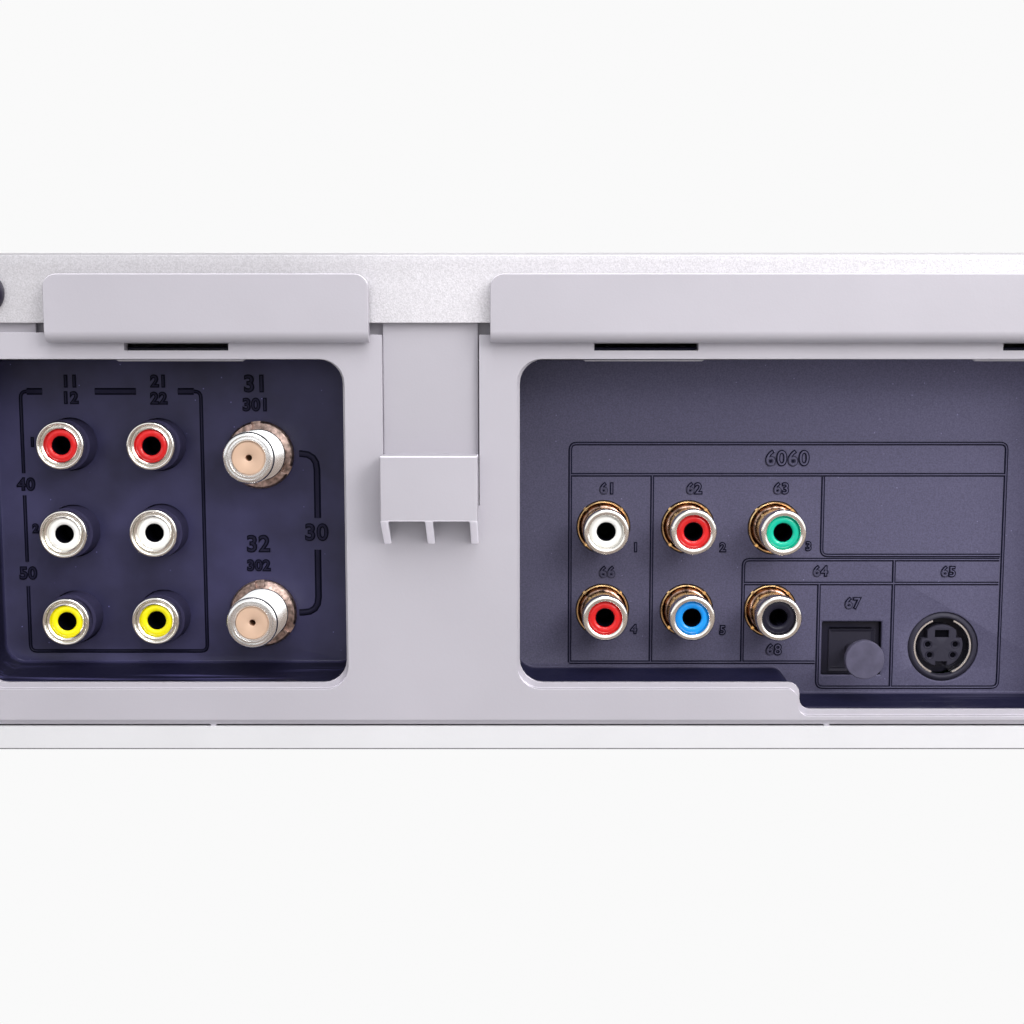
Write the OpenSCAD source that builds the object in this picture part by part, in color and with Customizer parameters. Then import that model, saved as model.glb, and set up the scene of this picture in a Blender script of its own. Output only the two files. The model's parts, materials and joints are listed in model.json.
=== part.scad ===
// Combination player: a disc loader and a cassette deck in one low steel case.
// +Z is up, the front faces -Y, and the origin is at the middle of the footprint.

/* [Case] */
// Overall width
body_w = 430; // [424:1:460]
// Overall height, feet included
body_h = 98.5; // [98:0.5:110]
// Depth from the front face to the face of the rear panel
body_d = 284; // [280:1:320]
// Height of the feet
foot_h = 9.3; // [6:0.1:12]
// Radius of the feet
foot_r = 19; // [12:0.5:22]
// Thickness of the steel sheet
sheet_t = 1; // [0.8:0.1:1.4]
// Outer bend radius of the cover
cover_r = 3; // [2:0.5:5]
// Height of the cover's rear flange
cover_flange_h = 12.2; // [9:0.1:14]
// Height of the lips around the bottom pan
pan_lip_h = 9; // [6:0.5:12]
// Height of the bottom pan's rear lip
pan_rear_h = 4.7; // [3:0.1:6]
// Gap between two seated pieces
fit = 0.3; // [0.2:0.05:0.4]
// Radial running clearance of shafts and pins
running = 0.05; // [0.02:0.01:0.09]

/* [Rear panel] */
// Wall of the moulded rear panel
panel_t = 2.2; // [1.6:0.1:3]
// How far the two hoods stand out
hood_out = 2.8; // [2:0.1:4]
// Wall of the hoods
hood_t = 1.8; // [1.2:0.1:1.9]
// How far a hood reaches up over the cover's flange
hood_rise = 8.3; // [5:0.1:10]
// How far the wall spacer stands out
spacer_out = 6; // [4:0.5:12]
// Width of the wall spacer and its tongue
spacer_w = 17; // [12:0.5:20]
// Middle of the wall spacer
spacer_x = 15.9; // [14:0.1:17]
// Height of the spacer's face
spacer_face_h = 11.8; // [8:0.1:16]
// Corner radius of the two openings
open_r = 4.3; // [2:0.1:8]
// Right end of the tape jack opening, seen from the rear
tape_open_x0 = 31.4; // [30:0.1:34]
// Width of the tape jack opening
tape_open_w = 66.6; // [64:0.1:72]
// Width of the disc jack opening
disc_open_w = 104; // [100:0.5:120]
// Strip of panel above the two openings
open_top_strip = 4.9; // [4.6:0.1:7]
// Height of the openings' lower edge above the bottom pan's underside
open_rise = 11.9; // [10:0.1:14]
// Drop of the disc jack opening's deeper end
step_drop = 5; // [3:0.1:6]
// Distance from the openings' shared edge to the step
step_x = 52.2; // [50.5:0.1:54]
// Depth from the panel's face to the jack plates
well_depth = 13.5; // [10:0.5:20]
// Wall of the jack wells
well_wall = 1.8; // [1.2:0.1:2.5]
// Thickness of the jack plates
plate_t = 2; // [1.5:0.1:3]

/* [Jacks] */
// Spacing of the tape phono jacks across
tape_jack_dx = 16.75; // [16:0.05:18]
// Spacing of the tape phono jacks in height
tape_jack_dz = 16.35; // [15:0.05:17]
// Height of the tape phono jacks' middle row above the pan's underside
tape_jack_z = 38.6; // [37:0.1:40]
// Place of the inner column of tape phono jacks
tape_jack_x = 67.7; // [66:0.1:70]
// Spacing of the disc phono jacks
disc_jack_pitch = 16; // [15:0.05:17]
// Place of the innermost disc phono jack
disc_jack_x = -15.8; // [-18:0.1:-14]
// Height of the lower row of disc phono jacks above the pan's underside
disc_jack_z = 23.4; // [22:0.1:25]
// Radius of a tape phono jack's shell
tape_shell_r = 4.4; // [4.2:0.05:4.5]
// Radius of a disc phono jack's shell
disc_shell_r = 4.15; // [4.1:0.05:4.3]
// How far a tape phono jack stands out of its plate
tape_jack_out = 5.9; // [4:0.1:9]
// How far a disc phono jack stands out of its plate
disc_jack_out = 8.5; // [6:0.1:10]
// Radius of the coloured insert of a phono jack
insert_r = 3.15; // [2.8:0.05:3.25]
// Radius of the hole in a phono jack's insert
insert_hole_r = 1.75; // [1.5:0.05:2]
// Radius of an aerial connector's thread
aerial_r = 4.76; // [4.5:0.01:4.9]
// How far an aerial connector stands out of its plate
aerial_out = 11; // [8:0.1:12]
// Place of the aerial connectors
aerial_x = 49; // [48:0.1:50]
// Height of the lower aerial connector above the pan's underside
aerial_z = 22.8; // [21:0.1:24]
// Distance between the two aerial connectors
aerial_dz = 30.2; // [28:0.1:31]
// Place of the small round video socket
svideo_x = -80.9; // [-82:0.1:-80]
// Radius of the small round video socket
svideo_r = 6.5; // [6:0.1:7]
// Place of the optical port
optical_x = -63.6; // [-65:0.1:-63]
// Width of the optical port
optical_w = 11.4; // [10:0.1:12]
// Height of the optical port
optical_h = 10.4; // [9:0.1:11]
// Pull-off travel of the optical port's cap
cap_travel = 8; // [5:0.5:10]
// Distance from the case's side to the middle of the mains inlet
inlet_inset = 47; // [40:1:60]

/* [Front] */
// Depth of the front panel moulding
front_d = 14; // [13:0.5:18]
// Wall of the front panel
front_t = 2.5; // [2:0.1:3]
// How far the buttons stand out
button_out = 0.8; // [0.5:0.1:1.5]
// Travel of the buttons
button_travel = 0.8; // [0.5:0.1:1]
// Width of the display window
window_w = 136; // [100:1:140]
// Height of the display window
window_h = 21; // [16:0.5:23]
// Height of the display window's middle above the pan's underside
window_z = 31; // [30:0.5:32]
// Diameter of the deck buttons
deck_button_d = 12; // [9:0.5:14]
// Spacing of the deck buttons
deck_button_pitch = 30; // [22:0.5:31]
// Height of the deck buttons above the pan's underside
deck_button_z = 22; // [17:0.5:24]

/* [Disc loader] */
// Distance from the case's side to the middle of the disc loader
loader_inset = 95; // [92:0.5:96]
// Width of the loader frame
loader_w = 148; // [146:0.5:152]
// Length of the loader frame
loader_l = 190; // [186:1:196]
// Distance from the frame's side to the disc tray's side
tray_inset = 4; // [3:0.1:5]
// Length of the disc tray
tray_l = 152; // [150:1:156]
// Thickness of the disc tray
tray_t = 6; // [6:0.1:6.6]
// Height of the tray's underside above the pan's underside
tray_z = 59.7; // [58:0.1:61]
// Travel of the disc tray
tray_travel = 130; // [110:1:134]
// Tilt of the traverse when it is lowered
traverse_tilt = 5; // [4.6:0.1:5.4]
// Travel of the pickup
pickup_travel = 34; // [28:1:35]
// Radius of the turntable
turntable_r = 14; // [12:0.5:15]

/* [Cassette deck] */
// Distance from the case's side to the middle of the cassette deck
deck_inset = 110; // [108:0.5:112]
// Width of the deck chassis
deck_w = 200; // [198:0.5:203]
// Depth of the deck chassis
deck_l = 184; // [180:1:188]
// Height of the deck plate above the pan's underside
deck_z = 20.7; // [20:0.1:23]
// Outer width of the cassette holder
holder_w = 193; // [191:0.5:194]
// Depth of the cassette holder
holder_l = 104; // [100:0.5:106]
// Height of the cassette holder
holder_h = 28; // [27:0.5:29]
// Drop of the cassette holder
holder_travel = 17; // [14:0.5:18]
// Radius of the head drum
drum_r = 31; // [28:0.5:31.5]
// Distance between the two reel spindles
reel_pitch = 92; // [88:0.5:96]
// Radius of the reel tables
reel_r = 18; // [15:0.5:20]

/* [Hidden] */

$fn = 48;
eps = 0.01;

// Levels and planes that the pieces share
total_d = body_d + spacer_out + button_out;
front_y = button_out - total_d / 2;
rear_y = front_y + body_d;
pan_z = foot_h;
floor_z = pan_z + sheet_t;
side_x = body_w / 2;
inner_x = side_x - sheet_t;
loader_x = loader_inset - side_x;
deck_x = side_x - deck_inset;
inlet_x = inlet_inset - side_x;
panel_back = rear_y - panel_t;
front_back = front_y + front_t;

// Rear panel
panel_z0 = pan_z + pan_rear_h + fit;
flange_z = body_h - cover_flange_h;
panel_z1 = flange_z - 1.3;
open_z0 = pan_z + open_rise;
open_z1 = panel_z1 - open_top_strip;
plate_face = rear_y - well_depth;
plate_back = plate_face - plate_t;
hood_z0 = panel_z1 - 2.2;
hood_z1 = flange_z + hood_rise;
hood_r = 2.4;
hood_tape = [26.4, 84.6];
hood_disc = [-109, 5.2];
slot_h = 1.3;
slot_z = panel_z1 - 2.9;
hood_slots = [60.7, -22.3, -94.5];
slot_w = 18.4;
tongue_recess = sheet_t + fit;
slit_w = 0.5;
spacer_z1 = pan_z + 54.2;
spacer_z0 = spacer_z1 - spacer_face_h;
gusset_h = 4.7;
spacer_wall = 1.4;
well_lip = 0.5;

// Front
front_z0 = pan_z;
front_z1 = body_h;
window_cz = pan_z + window_z;
board_gap = 8.5;
front_board_y = front_back + board_gap;
front_board_t = 1.6;
front_board_z = [floor_z + pan_lip_h + 1, pan_z + 42];
switch_h = 3.5;
button_wall = 1.2;
flange_t = 1;
button_end = front_board_y - switch_h - button_travel - 0.15;

// Disc loader
tray_z0 = pan_z + tray_z;
tray_z1 = tray_z0 + tray_t;
tray_w = loader_w - 2 * tray_inset;
fascia_t = 3;
fascia_w = 146;
fascia_h = 17;
fascia_z = tray_z0 + 4;
tray_y0 = front_y + fascia_t;
loader_y0 = front_y + front_d + 6.5;
loader_y1 = loader_y0 + loader_l;
loader_z0 = tray_z0 - 15;
loader_wall = 2;
loader_z1 = tray_z1 + 5;
disc_r = 60.5;
disc_y = tray_y0 + 75.6;
slot_half = 21;
traverse_z = tray_z0 - 5;
traverse_t = 1.5;
hinge_y = loader_y1 - 8;
hinge_z = traverse_z + traverse_t / 2;
traverse_w = 80;
traverse_y0 = disc_y - 24;
hinge_pin_r = 2;
hinge_ear_t = 4;
turntable_top = tray_z1 + 0.8;
rod_r = 1.5;
rod_dx = 22;
pickup_y = disc_y + 24;
gear_x = loader_x + tray_w / 2 - 24;
gear_y = loader_y0 + 15;
gear_r = 14;
gear_teeth = 28;
pinion_r = 6;
pinion_teeth = 12;
bridge_w = 60;
bridge_t = 1.2;
clamper_r = 15;
clamper_neck_r = 11.6;

// Cassette deck
deck_plate_z = pan_z + deck_z;
deck_t = 1.2;
deck_top = deck_plate_z + deck_t;
deck_y0 = front_y + front_d + 12;
deck_y1 = deck_y0 + deck_l;
wall_z1 = deck_plate_z + 53;
holder_z0 = deck_plate_z + 24;
holder_y0 = deck_y0 + 13;
holder_y1 = holder_y0 + holder_l;
holder_t = 1;
holder_pin_r = 1.5;
holder_pins_y = [holder_y0 + 20, holder_y1 - 20];
drum_y = holder_y1 + drum_r + 2.5;
drum_base_h = 2;
lower_drum_h = 14;
drum_gap = 0.4;
upper_drum_h = 13.5;
drum_shaft_r = 3;
capstan_x = deck_x + 44;
capstan_y = holder_y1 + 8;
capstan_r = 1.5;
flywheel_r = 21;
flywheel_t = 5;
bush_r = 4;
arm_x = capstan_x + 20;
arm_y = capstan_y + 14;
arm_post_r = 2;
roller_r = 6;
reel_y = holder_y0 + 44;
spindle_r = 5.5;
spindle_h = 14;
door_w = 196;
door_t = 2.5;
door_h = 33;
door_z1 = holder_z0 + holder_h + 3.2;
door_pin_r = 1.25;
door_hole_h = door_h + 2 * fit;

// Boards and posts
standoff_h = 6;
board_t = 1.6;
board_z = floor_z + standoff_h;
post_r = 3.5;
jack_board_y = plate_back - 12;

// ---------- helpers ----------

// A block between two corners
module span(x, y, z) {
    translate([x[0], y[0], z[0]]) cube([x[1] - x[0], y[1] - y[0], z[1] - z[0]]);
}

// An upright shape drawn in X and Z, given a thickness from y0 backwards
module upright(y0, t) {
    translate([0, y0 + t, 0]) rotate([90, 0, 0]) linear_extrude(t) children();
}

// A shape drawn in Y and Z, given a thickness from x0 to the right
module sideways(x0, t) {
    translate([x0, 0, 0]) rotate([90, 0, 90]) linear_extrude(t) children();
}

// A round bar along Y
module bar_y(x, y, z, r, l) {
    translate([x, y, z]) rotate([-90, 0, 0]) cylinder(r = r, h = l);
}

// A round bar along X
module bar_x(x, y, z, r, l) {
    translate([x, y, z]) rotate([0, 90, 0]) cylinder(r = r, h = l);
}

// A rectangle between two corners with round corners
module round_rect(x, z, r) {
    translate([x[0] + r, z[0]]) square([x[1] - x[0] - 2 * r, z[1] - z[0]]);
    translate([x[0], z[0] + r]) square([x[1] - x[0], z[1] - z[0] - 2 * r]);
    for (cx = [x[0] + r, x[1] - r], cz = [z[0] + r, z[1] - r]) translate([cx, cz]) circle(r);
}

// A profile of radius and depth turned about an axis that points to the rear
module turned_y(x, y, z) {
    translate([x, y, z]) rotate([-90, 0, 0]) rotate_extrude() children();
}

// ---------- case ----------

foot_x = side_x - 46;
foot_y = body_d / 2 - 38;
deck_posts = [for (x = [deck_x - deck_w / 2 + 8, deck_x + deck_w / 2 - 8],
    y = [deck_y0 + 8, deck_y1 - 8]) [x, y]];
main_board_x = [-28, deck_x + deck_w / 2 - 18];
main_board_y = [deck_y0 + 22, deck_y1 - 16];
board_posts = [for (x = [main_board_x[0] + 6, main_board_x[1] - 6],
    y = [main_board_y[0] + 6, main_board_y[1] - 6]) [x, y]];
power_board_x = [8 - side_x, 103 - side_x];
power_board_y = [rear_y - 69.5, rear_y - 22];
loader_posts = [for (x = [-1, 1], y = [loader_y0 + 12, min(loader_y1 - 12, power_board_y[0] - 16)])
    [loader_x + x * (loader_w / 2 - 10), y]];
power_posts = [for (x = [power_board_x[0] + 6, power_board_x[1] - 6],
    y = [power_board_y[0] + 6, power_board_y[1] - 6]) [x, y]];

module base_pan() color("gainsboro") {
    x = inner_x - fit;
    y0 = front_y + front_d + fit;
    difference() {
        span([-x, x], [y0, rear_y], [pan_z, pan_z + pan_lip_h]);
        span([sheet_t - x, x - sheet_t], [y0 + sheet_t, rear_y - sheet_t],
            [floor_z, body_h]);
        span([-side_x, side_x], [rear_y - panel_t - 1, rear_y + 1], [pan_z + pan_rear_h, body_h]);
        side_screw_holes();
        for (i = [-8:8])
            span([i * 9 - 110, i * 9 - 106.5], [-60, -15], [pan_z - 1, floor_z + 1]);
    }
    for (p = board_posts) pan_post(p, board_z);
    for (p = power_posts) pan_post(p, board_z);
    for (p = deck_posts) pan_post(p, deck_plate_z);
    for (p = loader_posts) pan_post(p, loader_z0);
}

// A post pressed up from the pan's floor
module pan_post(p, z) {
    translate([p[0], p[1], floor_z - eps]) cylinder(r = post_r, h = z - floor_z + eps);
}

module feet() color("dimgray") {
    for (x = [-foot_x, foot_x], y = [-foot_y, foot_y]) translate([x, y, 0])
        rotate_extrude() {
            polygon([[0, 1], [foot_r - 4, 1], [foot_r - 4, 0], [foot_r - 1.5, 0], [foot_r, 1.5],
                [foot_r - 1, foot_h], [0, foot_h]]);
        }
}

// The outer form of the cover, or its inner form when shrunk by a sheet
module cover_form(inset, y0, z0) {
    r = cover_r - inset;
    x = side_x - inset;
    z1 = body_h - inset;
    y1 = rear_y - inset;
    intersection() {
        upright(y0, y1 - y0) {
            translate([-x, z0]) square([2 * x, z1 - z0 - r]);
            translate([r - x, z0]) square([2 * (x - r), z1 - z0]);
            for (s = [-1, 1]) translate([s * (x - r), z1 - r]) circle(r);
        }
        sideways(-side_x, body_w) {
            translate([y0, z0]) square([y1 - y0 - r, z1 - z0]);
            translate([y0, z0]) square([y1 - y0, z1 - z0 - r]);
            translate([y1 - r, z1 - r]) circle(r);
        }
    }
}

cover_z0 = pan_z + 0.6;
side_vents_z = pan_z + 46;

module top_cover() color("silver") {
    y0 = front_y + front_d + fit;
    difference() {
        cover_form(0, y0, cover_z0);
        cover_form(sheet_t, y0 - 1, cover_z0 - 1);
        span([-inner_x, inner_x], [rear_y - sheet_t - 1, rear_y + 1], [cover_z0 - 1, flange_z]);
        for (s = [-1, 1], row = [0:1], i = [0:12]) translate([s * side_x, i * 7 - 10, side_vents_z])
            translate([-2, 0, row * 16]) cube([4, 2.6, 12]);
        for (i = [0:13]) translate([i * 6.4 + 15 - side_x, rear_y - 62, body_h - 2]) cube([2.8, 34, 3]);
        for (x = cover_screw_spots) bar_y(x, rear_y - 3, screw_z, screw_r + screw_play, 6);
        side_screw_holes();
    }
}

screw_z = body_h - 7;
screw_r = 1.5;
screw_play = 0.1;
screw_head_r = 3.75;
side_head_r = 3.2;
cover_screw_spots = [95.2, side_x - 12, -130, 12 - side_x];
side_screw_y = [front_y + 52, rear_y - 40];
side_screw_z = pan_z + 5;

module side_screw_holes() {
    for (y = side_screw_y)
        bar_x(-side_x - 1, y, side_screw_z, screw_r + screw_play, body_w + 2);
}

module cover_screws() color("black") {
    for (x = cover_screw_spots) {
        turned_y(x, rear_y, screw_z) screw_profile();
        bar_y(x, rear_y - 6, screw_z, screw_r, 6.1);
    }
    for (s = [-1, 1], y = side_screw_y) translate([s * (side_x - 3.2), y, side_screw_z])
        rotate([0, s * 90, 0]) {
            cylinder(r = screw_r, h = 3.3);
            translate([0, 0, 3.2]) cylinder(r1 = side_head_r, r2 = side_head_r - 0.6, h = 0.9);
        }
}

// The head of a pan screw with its cross cut, drawn in radius and depth
module screw_profile() {
    polygon([[0, 0], [screw_head_r, 0], [screw_head_r, 0.8], [screw_head_r - 1.2, 1.9], [0, 2.2]]);
}

// ---------- rear panel and jack wells ----------

step_r = 2;

module tape_opening(grow) {
    round_rect([tape_open_x0 - grow, tape_open_x0 + tape_open_w + grow],
        [open_z0 - grow, open_z1 + grow], open_r + grow);
}

module disc_opening(grow) {
    x0 = -disc_open_w - grow;
    xs = grow - step_x;
    f = max(step_r - grow, fit);
    round_rect([x0, grow], [open_z0 - grow, open_z1 + grow], open_r + grow);
    round_rect([x0, xs], [open_z0 - step_drop - grow, open_z0 + 20], step_r + grow);
    difference() {
        translate([xs - eps, open_z0 - grow - f]) square(f + eps);
        translate([xs + f, open_z0 - grow - f]) circle(f);
    }
}

tongue_x = [spacer_x - spacer_w / 2, spacer_x + spacer_w / 2];
tongue_y = rear_y - tongue_recess;
slit_z0 = spacer_z0 + 2.2;
inlet_z = pan_z + 20;
inlet_w = 23;
inlet_h = 13;
inlet_d = 18;

module rear_panel() color("lightgray") {
    x = inner_x - fit;
    difference() {
        union() {
            upright(panel_back, panel_t) translate([-x, panel_z0])
                square([2 * x, panel_z1 - panel_z0]);
            for (h = [hood_tape, hood_disc]) hood(h);
            for (r = [[-20, 4], [27, 84]]) span([r[0], r[1]], [panel_back, tongue_y],
                [panel_z1 - 1, panel_z1 + 4]);
            for (x = cover_screw_spots) span([x - 6, x + 6], [panel_back, tongue_y],
                [panel_z1 - 1, screw_z + 4]);
        }
        for (x = cover_screw_spots)
            bar_y(x, panel_back - 1, screw_z, screw_r + screw_play, panel_t + 2);
        upright(panel_back - 1, panel_t + 2) {
            tape_opening(0);
            disc_opening(0);
        }
        for (x = hood_slots) span([x - slot_w / 2, x + slot_w / 2], [panel_back - 1, rear_y + 5],
            [slot_z - slot_h / 2, slot_z + slot_h / 2]);
        span([tongue_x[0] - slit_w, tongue_x[1] + slit_w], [panel_back - 1, rear_y + 1],
            [slit_z0, body_h]);
        span([inlet_x - inlet_w / 2 - fit, inlet_x + inlet_w / 2 + fit],
            [panel_back - 1, rear_y + 1], [inlet_z - inlet_h / 2 - fit, inlet_z + inlet_h / 2 + fit]);
    }
    span(tongue_x, [tongue_y - panel_t, tongue_y], [slit_z0 - 2, panel_z1 + 4]);
    span(tongue_x, [tongue_y - panel_t, rear_y - 0.5], [slit_z0 - 5, slit_z0 - eps]);
    wall_spacer();
}

// A plate that stands over the cover's flange on a web
module hood(x) {
    upright(rear_y + hood_out - hood_t, hood_t) round_rect(x, [hood_z0, hood_z1], hood_r);
    span([x[0] + 1, x[1] - 1], [rear_y - 1, rear_y + hood_out - 1], [hood_z0 + 0.8, panel_z1]);
}

// The hollow block that keeps the case off a wall, with its three gusset ribs
module wall_spacer() {
    y1 = rear_y + spacer_out;
    y0 = tongue_y - 1;
    span(tongue_x, [y1 - spacer_wall, y1], [spacer_z0, spacer_z1]);
    span(tongue_x, [y0, y1], [spacer_z1 - spacer_wall, spacer_z1]);
    for (x = [tongue_x[0], spacer_x - spacer_wall / 2, tongue_x[1] - spacer_wall])
        sideways(x, spacer_wall) polygon([[y0, spacer_z1], [y1, spacer_z1], [y1, spacer_z0],
            [rear_y, spacer_z0 - gusset_h], [rear_y - 1, spacer_z0 - gusset_h],
            [rear_y - 1, slit_z0], [y0, slit_z0]]);
}

tape_jacks_x = [tape_jack_x, tape_jack_x + tape_jack_dx];
tape_jacks_z = [for (i = [-1:1]) pan_z + tape_jack_z + i * tape_jack_dz];
disc_jacks_x = [for (i = [0:2]) disc_jack_x - i * disc_jack_pitch];
disc_jacks_z = [for (i = [0:1]) pan_z + disc_jack_z + i * disc_jack_pitch];
aerials_z = [pan_z + aerial_z, pan_z + aerial_z + aerial_dz];
collar_r = tape_shell_r + fit;
base_ring_r = disc_shell_r + 0.85;
lock_r = aerial_r + 1.8;
svideo_z = pan_z + 16.4;
optical_z = pan_z + 15.8;

module jack_well_tape() color("midnightblue") difference() {
    upright(plate_back, panel_back - plate_back) tape_opening(well_lip + well_wall);
    upright(plate_face, well_depth) tape_opening(well_lip);
    for (x = tape_jacks_x, z = tape_jacks_z)
        bar_y(x, plate_back - 1, z, collar_r + running, plate_t + 2);
    for (z = aerials_z) bar_y(aerial_x, plate_back - 1, z, aerial_r + fit, plate_t + 2);
}

module jack_well_disc() color("darkslategray") difference() {
    upright(plate_back, panel_back - plate_back) disc_opening(well_lip + well_wall);
    upright(plate_face, well_depth) disc_opening(well_lip);
    for (x = disc_jacks_x, z = disc_jacks_z)
        bar_y(x, plate_back - 1, z, base_ring_r + running, plate_t + 2);
    bar_y(svideo_x, plate_back - 1, svideo_z, svideo_r, plate_t + 2);
    span([optical_x - optical_w / 2, optical_x + optical_w / 2], [plate_back - 1, plate_face + 1],
        [optical_z - optical_h / 2, optical_z + optical_h / 2]);
}

// ---------- phono jacks ----------

// A plated shell of length l: a tube of radius r over its last stretch, rim, and a thinner root
module phono_shell(x, z, r, neck, l, rim) {
    inner = insert_r + running;
    turned_y(x, plate_back, z) polygon([[inner, 0], [neck, 0], [neck, l - rim], [r, l - rim],
        [r, l - 0.5], [r - 0.4, l], [inner + 0.3, l], [inner, l - 0.4]]);
}

// The coloured insulator inside a shell
module phono_insert(x, z, l) {
    turned_y(x, plate_back, z) polygon([[insert_hole_r, 1], [insert_hole_r, l - 1],
        [insert_hole_r + 0.5, l - 0.5], [insert_r, l - 0.7], [insert_r, 0], [0, 0], [0, 1]]);
}

tape_l = plate_t + tape_jack_out;
disc_l = plate_t + disc_jack_out;
tape_rim = 1.6;
tape_neck = tape_shell_r - 0.4;
disc_neck = disc_shell_r - 0.25;

module phono_shells_tape() color("silver")
    for (x = tape_jacks_x, z = tape_jacks_z)
        phono_shell(x, z, tape_shell_r, tape_neck, tape_l, tape_rim);

module phono_shells_disc() color("silver")
    for (x = disc_jacks_x, z = disc_jacks_z)
        phono_shell(x, z, disc_shell_r, disc_neck, disc_l, disc_jack_out);

jack_board_z = [pan_z + 8, open_z1 - 2];
block_y = [jack_board_y + board_t, plate_back];

// The black body behind the plate, with a collar through it round each shell
module phono_block_tape() color("black") {
    span([tape_jacks_x[0] - 6, tape_jacks_x[1] + 6], block_y,
        [tape_jacks_z[0] - 6, tape_jacks_z[2] + 6]);
    for (x = tape_jacks_x, z = tape_jacks_z)
        turned_y(x, plate_back - eps, z) translate([tape_neck + running, 0])
            square([collar_r - tape_neck - running, tape_l - tape_rim - running]);
}

module phono_block_disc() color("black") {
    span([disc_jacks_x[2] - 6, disc_jacks_x[0] + 6], block_y,
        [disc_jacks_z[0] - 6, disc_jacks_z[1] + 6]);
    translate([0, -eps, 0]) phono_insert(disc_jacks_x[2], disc_jacks_z[0], disc_l);
}

module phono_base_rings() color("goldenrod")
    for (x = disc_jacks_x, z = disc_jacks_z) difference() {
        turned_y(x, plate_back, z) translate([disc_neck + running, 0])
            square([base_ring_r - disc_neck - running, plate_t - 0.2]);
        for (a = [20, 110, 200, 290]) translate([x, plate_back + 0.8, z]) rotate([0, a, 0])
            translate([disc_neck, 0, -0.5]) cube([3, plate_t, 1]);
    }

module phono_inserts_red() color("red") {
    for (x = tape_jacks_x) phono_insert(x, tape_jacks_z[2], tape_l);
    phono_insert(disc_jacks_x[0], disc_jacks_z[0], disc_l);
    phono_insert(disc_jacks_x[1], disc_jacks_z[1], disc_l);
}

module phono_inserts_white() color("white") {
    for (x = tape_jacks_x) phono_insert(x, tape_jacks_z[1], tape_l);
    phono_insert(disc_jacks_x[0], disc_jacks_z[1], disc_l);
}

module phono_inserts_yellow() color("yellow")
    for (x = tape_jacks_x) phono_insert(x, tape_jacks_z[0], tape_l);

module phono_insert_green() color("green") phono_insert(disc_jacks_x[2], disc_jacks_z[1], disc_l);

module phono_insert_blue() color("blue") phono_insert(disc_jacks_x[1], disc_jacks_z[0], disc_l);

// ---------- aerial, video, optical and mains sockets ----------

core_r = aerial_r - 1.7;
aerial_root_r = aerial_r - 0.3;
aerial_l = plate_t + aerial_out;
lock_t = 1.4;

module aerial_connectors() color("silver") for (z = aerials_z) difference() {
    turned_y(aerial_x, plate_back, z) polygon([[0, 0], [aerial_root_r, 0],
        [aerial_root_r, plate_t + lock_t], [aerial_r, plate_t + lock_t],
        [aerial_r, aerial_l - 0.4], [aerial_r - 0.4, aerial_l], [0, aerial_l]]);
    bar_y(aerial_x, plate_back + 2, z, core_r, aerial_l);
}

module aerial_insulators() color("tan") for (z = aerials_z) difference() {
    bar_y(aerial_x, plate_back + 2, z, core_r - running, aerial_l - 2.8);
    bar_y(aerial_x, plate_back + 4, z, 0.5, aerial_l);
}

module aerial_lock_rings() color("silver") for (z = aerials_z) difference() {
    turned_y(aerial_x, plate_face, z) translate([aerial_root_r + running, 0])
        square([lock_r - aerial_root_r - running, lock_t - running]);
    for (a = [-60, 30, 120, 210]) translate([aerial_x, plate_face + 0.5, z]) rotate([0, a, 0])
        translate([aerial_r + 0.6, 0, -0.8]) cube([3, 2, 1.6]);
}

pin_spots = [[3.1, 0.6], [-3.1, 0.6], [2.2, -1.9], [-2.2, -1.9]];

module video_socket_shell() color("silver")
    turned_y(svideo_x, plate_back - 4, svideo_z) translate([svideo_r - 1.5, 0])
        square([0.5, plate_t + 3.8]);

module video_socket_insert() color("black") difference() {
    bar_y(svideo_x, block_y[0], svideo_z, svideo_r - running, plate_face - block_y[0]);
    turned_y(svideo_x, plate_back - 4 - eps, svideo_z) translate([svideo_r - 1.5 - running, 0])
        square([0.5 + 2 * running, 20]);
    bar_y(svideo_x, plate_face - 1, svideo_z, svideo_r - 1.5 - running / 2, 2);
    for (p = pin_spots) bar_y(svideo_x + p[0], plate_back - 3, svideo_z + p[1], 0.55, 9);
    span([svideo_x - 1.4, svideo_x + 1.4], [plate_back - 3, rear_y],
        [svideo_z + 2.1, svideo_z + 3.6]);
}

port = [8, 7.6];

module optical_socket() color("black") difference() {
    span([optical_x - optical_w / 2 + running, optical_x + optical_w / 2 - running],
        [block_y[0], plate_face - 1.2],
        [optical_z - optical_h / 2 + running, optical_z + optical_h / 2 - running]);
    span([optical_x - port[0] / 2, optical_x + port[0] / 2], [plate_back - 6, rear_y],
        [optical_z - port[1] / 2, optical_z + port[1] / 2]);
}

cap_w = 9;
cap_h = 8.4;
cap_knob_r = 3.65;

// The dust cap: a plug in the port, a square face, a thin stem and a round grip
module optical_cap() color("black") {
    x = optical_x - 0.3;
    span([x - port[0] / 2 + 0.6, x + port[0] / 2], [plate_back - 4, plate_face - 1],
        [optical_z - port[1] / 2 + fit, optical_z + port[1] / 2 - fit]);
    span([x - cap_w / 2, x + cap_w / 2], [plate_face - 1.15, plate_face + 0.6],
        [optical_z - cap_h / 2, optical_z + cap_h / 2]);
    bar_y(optical_x, plate_face, optical_z, 1.6, 7.5);
    bar_y(optical_x, plate_face + 7, optical_z, cap_knob_r, 1.6);
}

inlet_lobe_r = 4.2;
inlet_lobe_dx = 4.3;
socket_d = 14;
mains_pin_r = 1.2;

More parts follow.
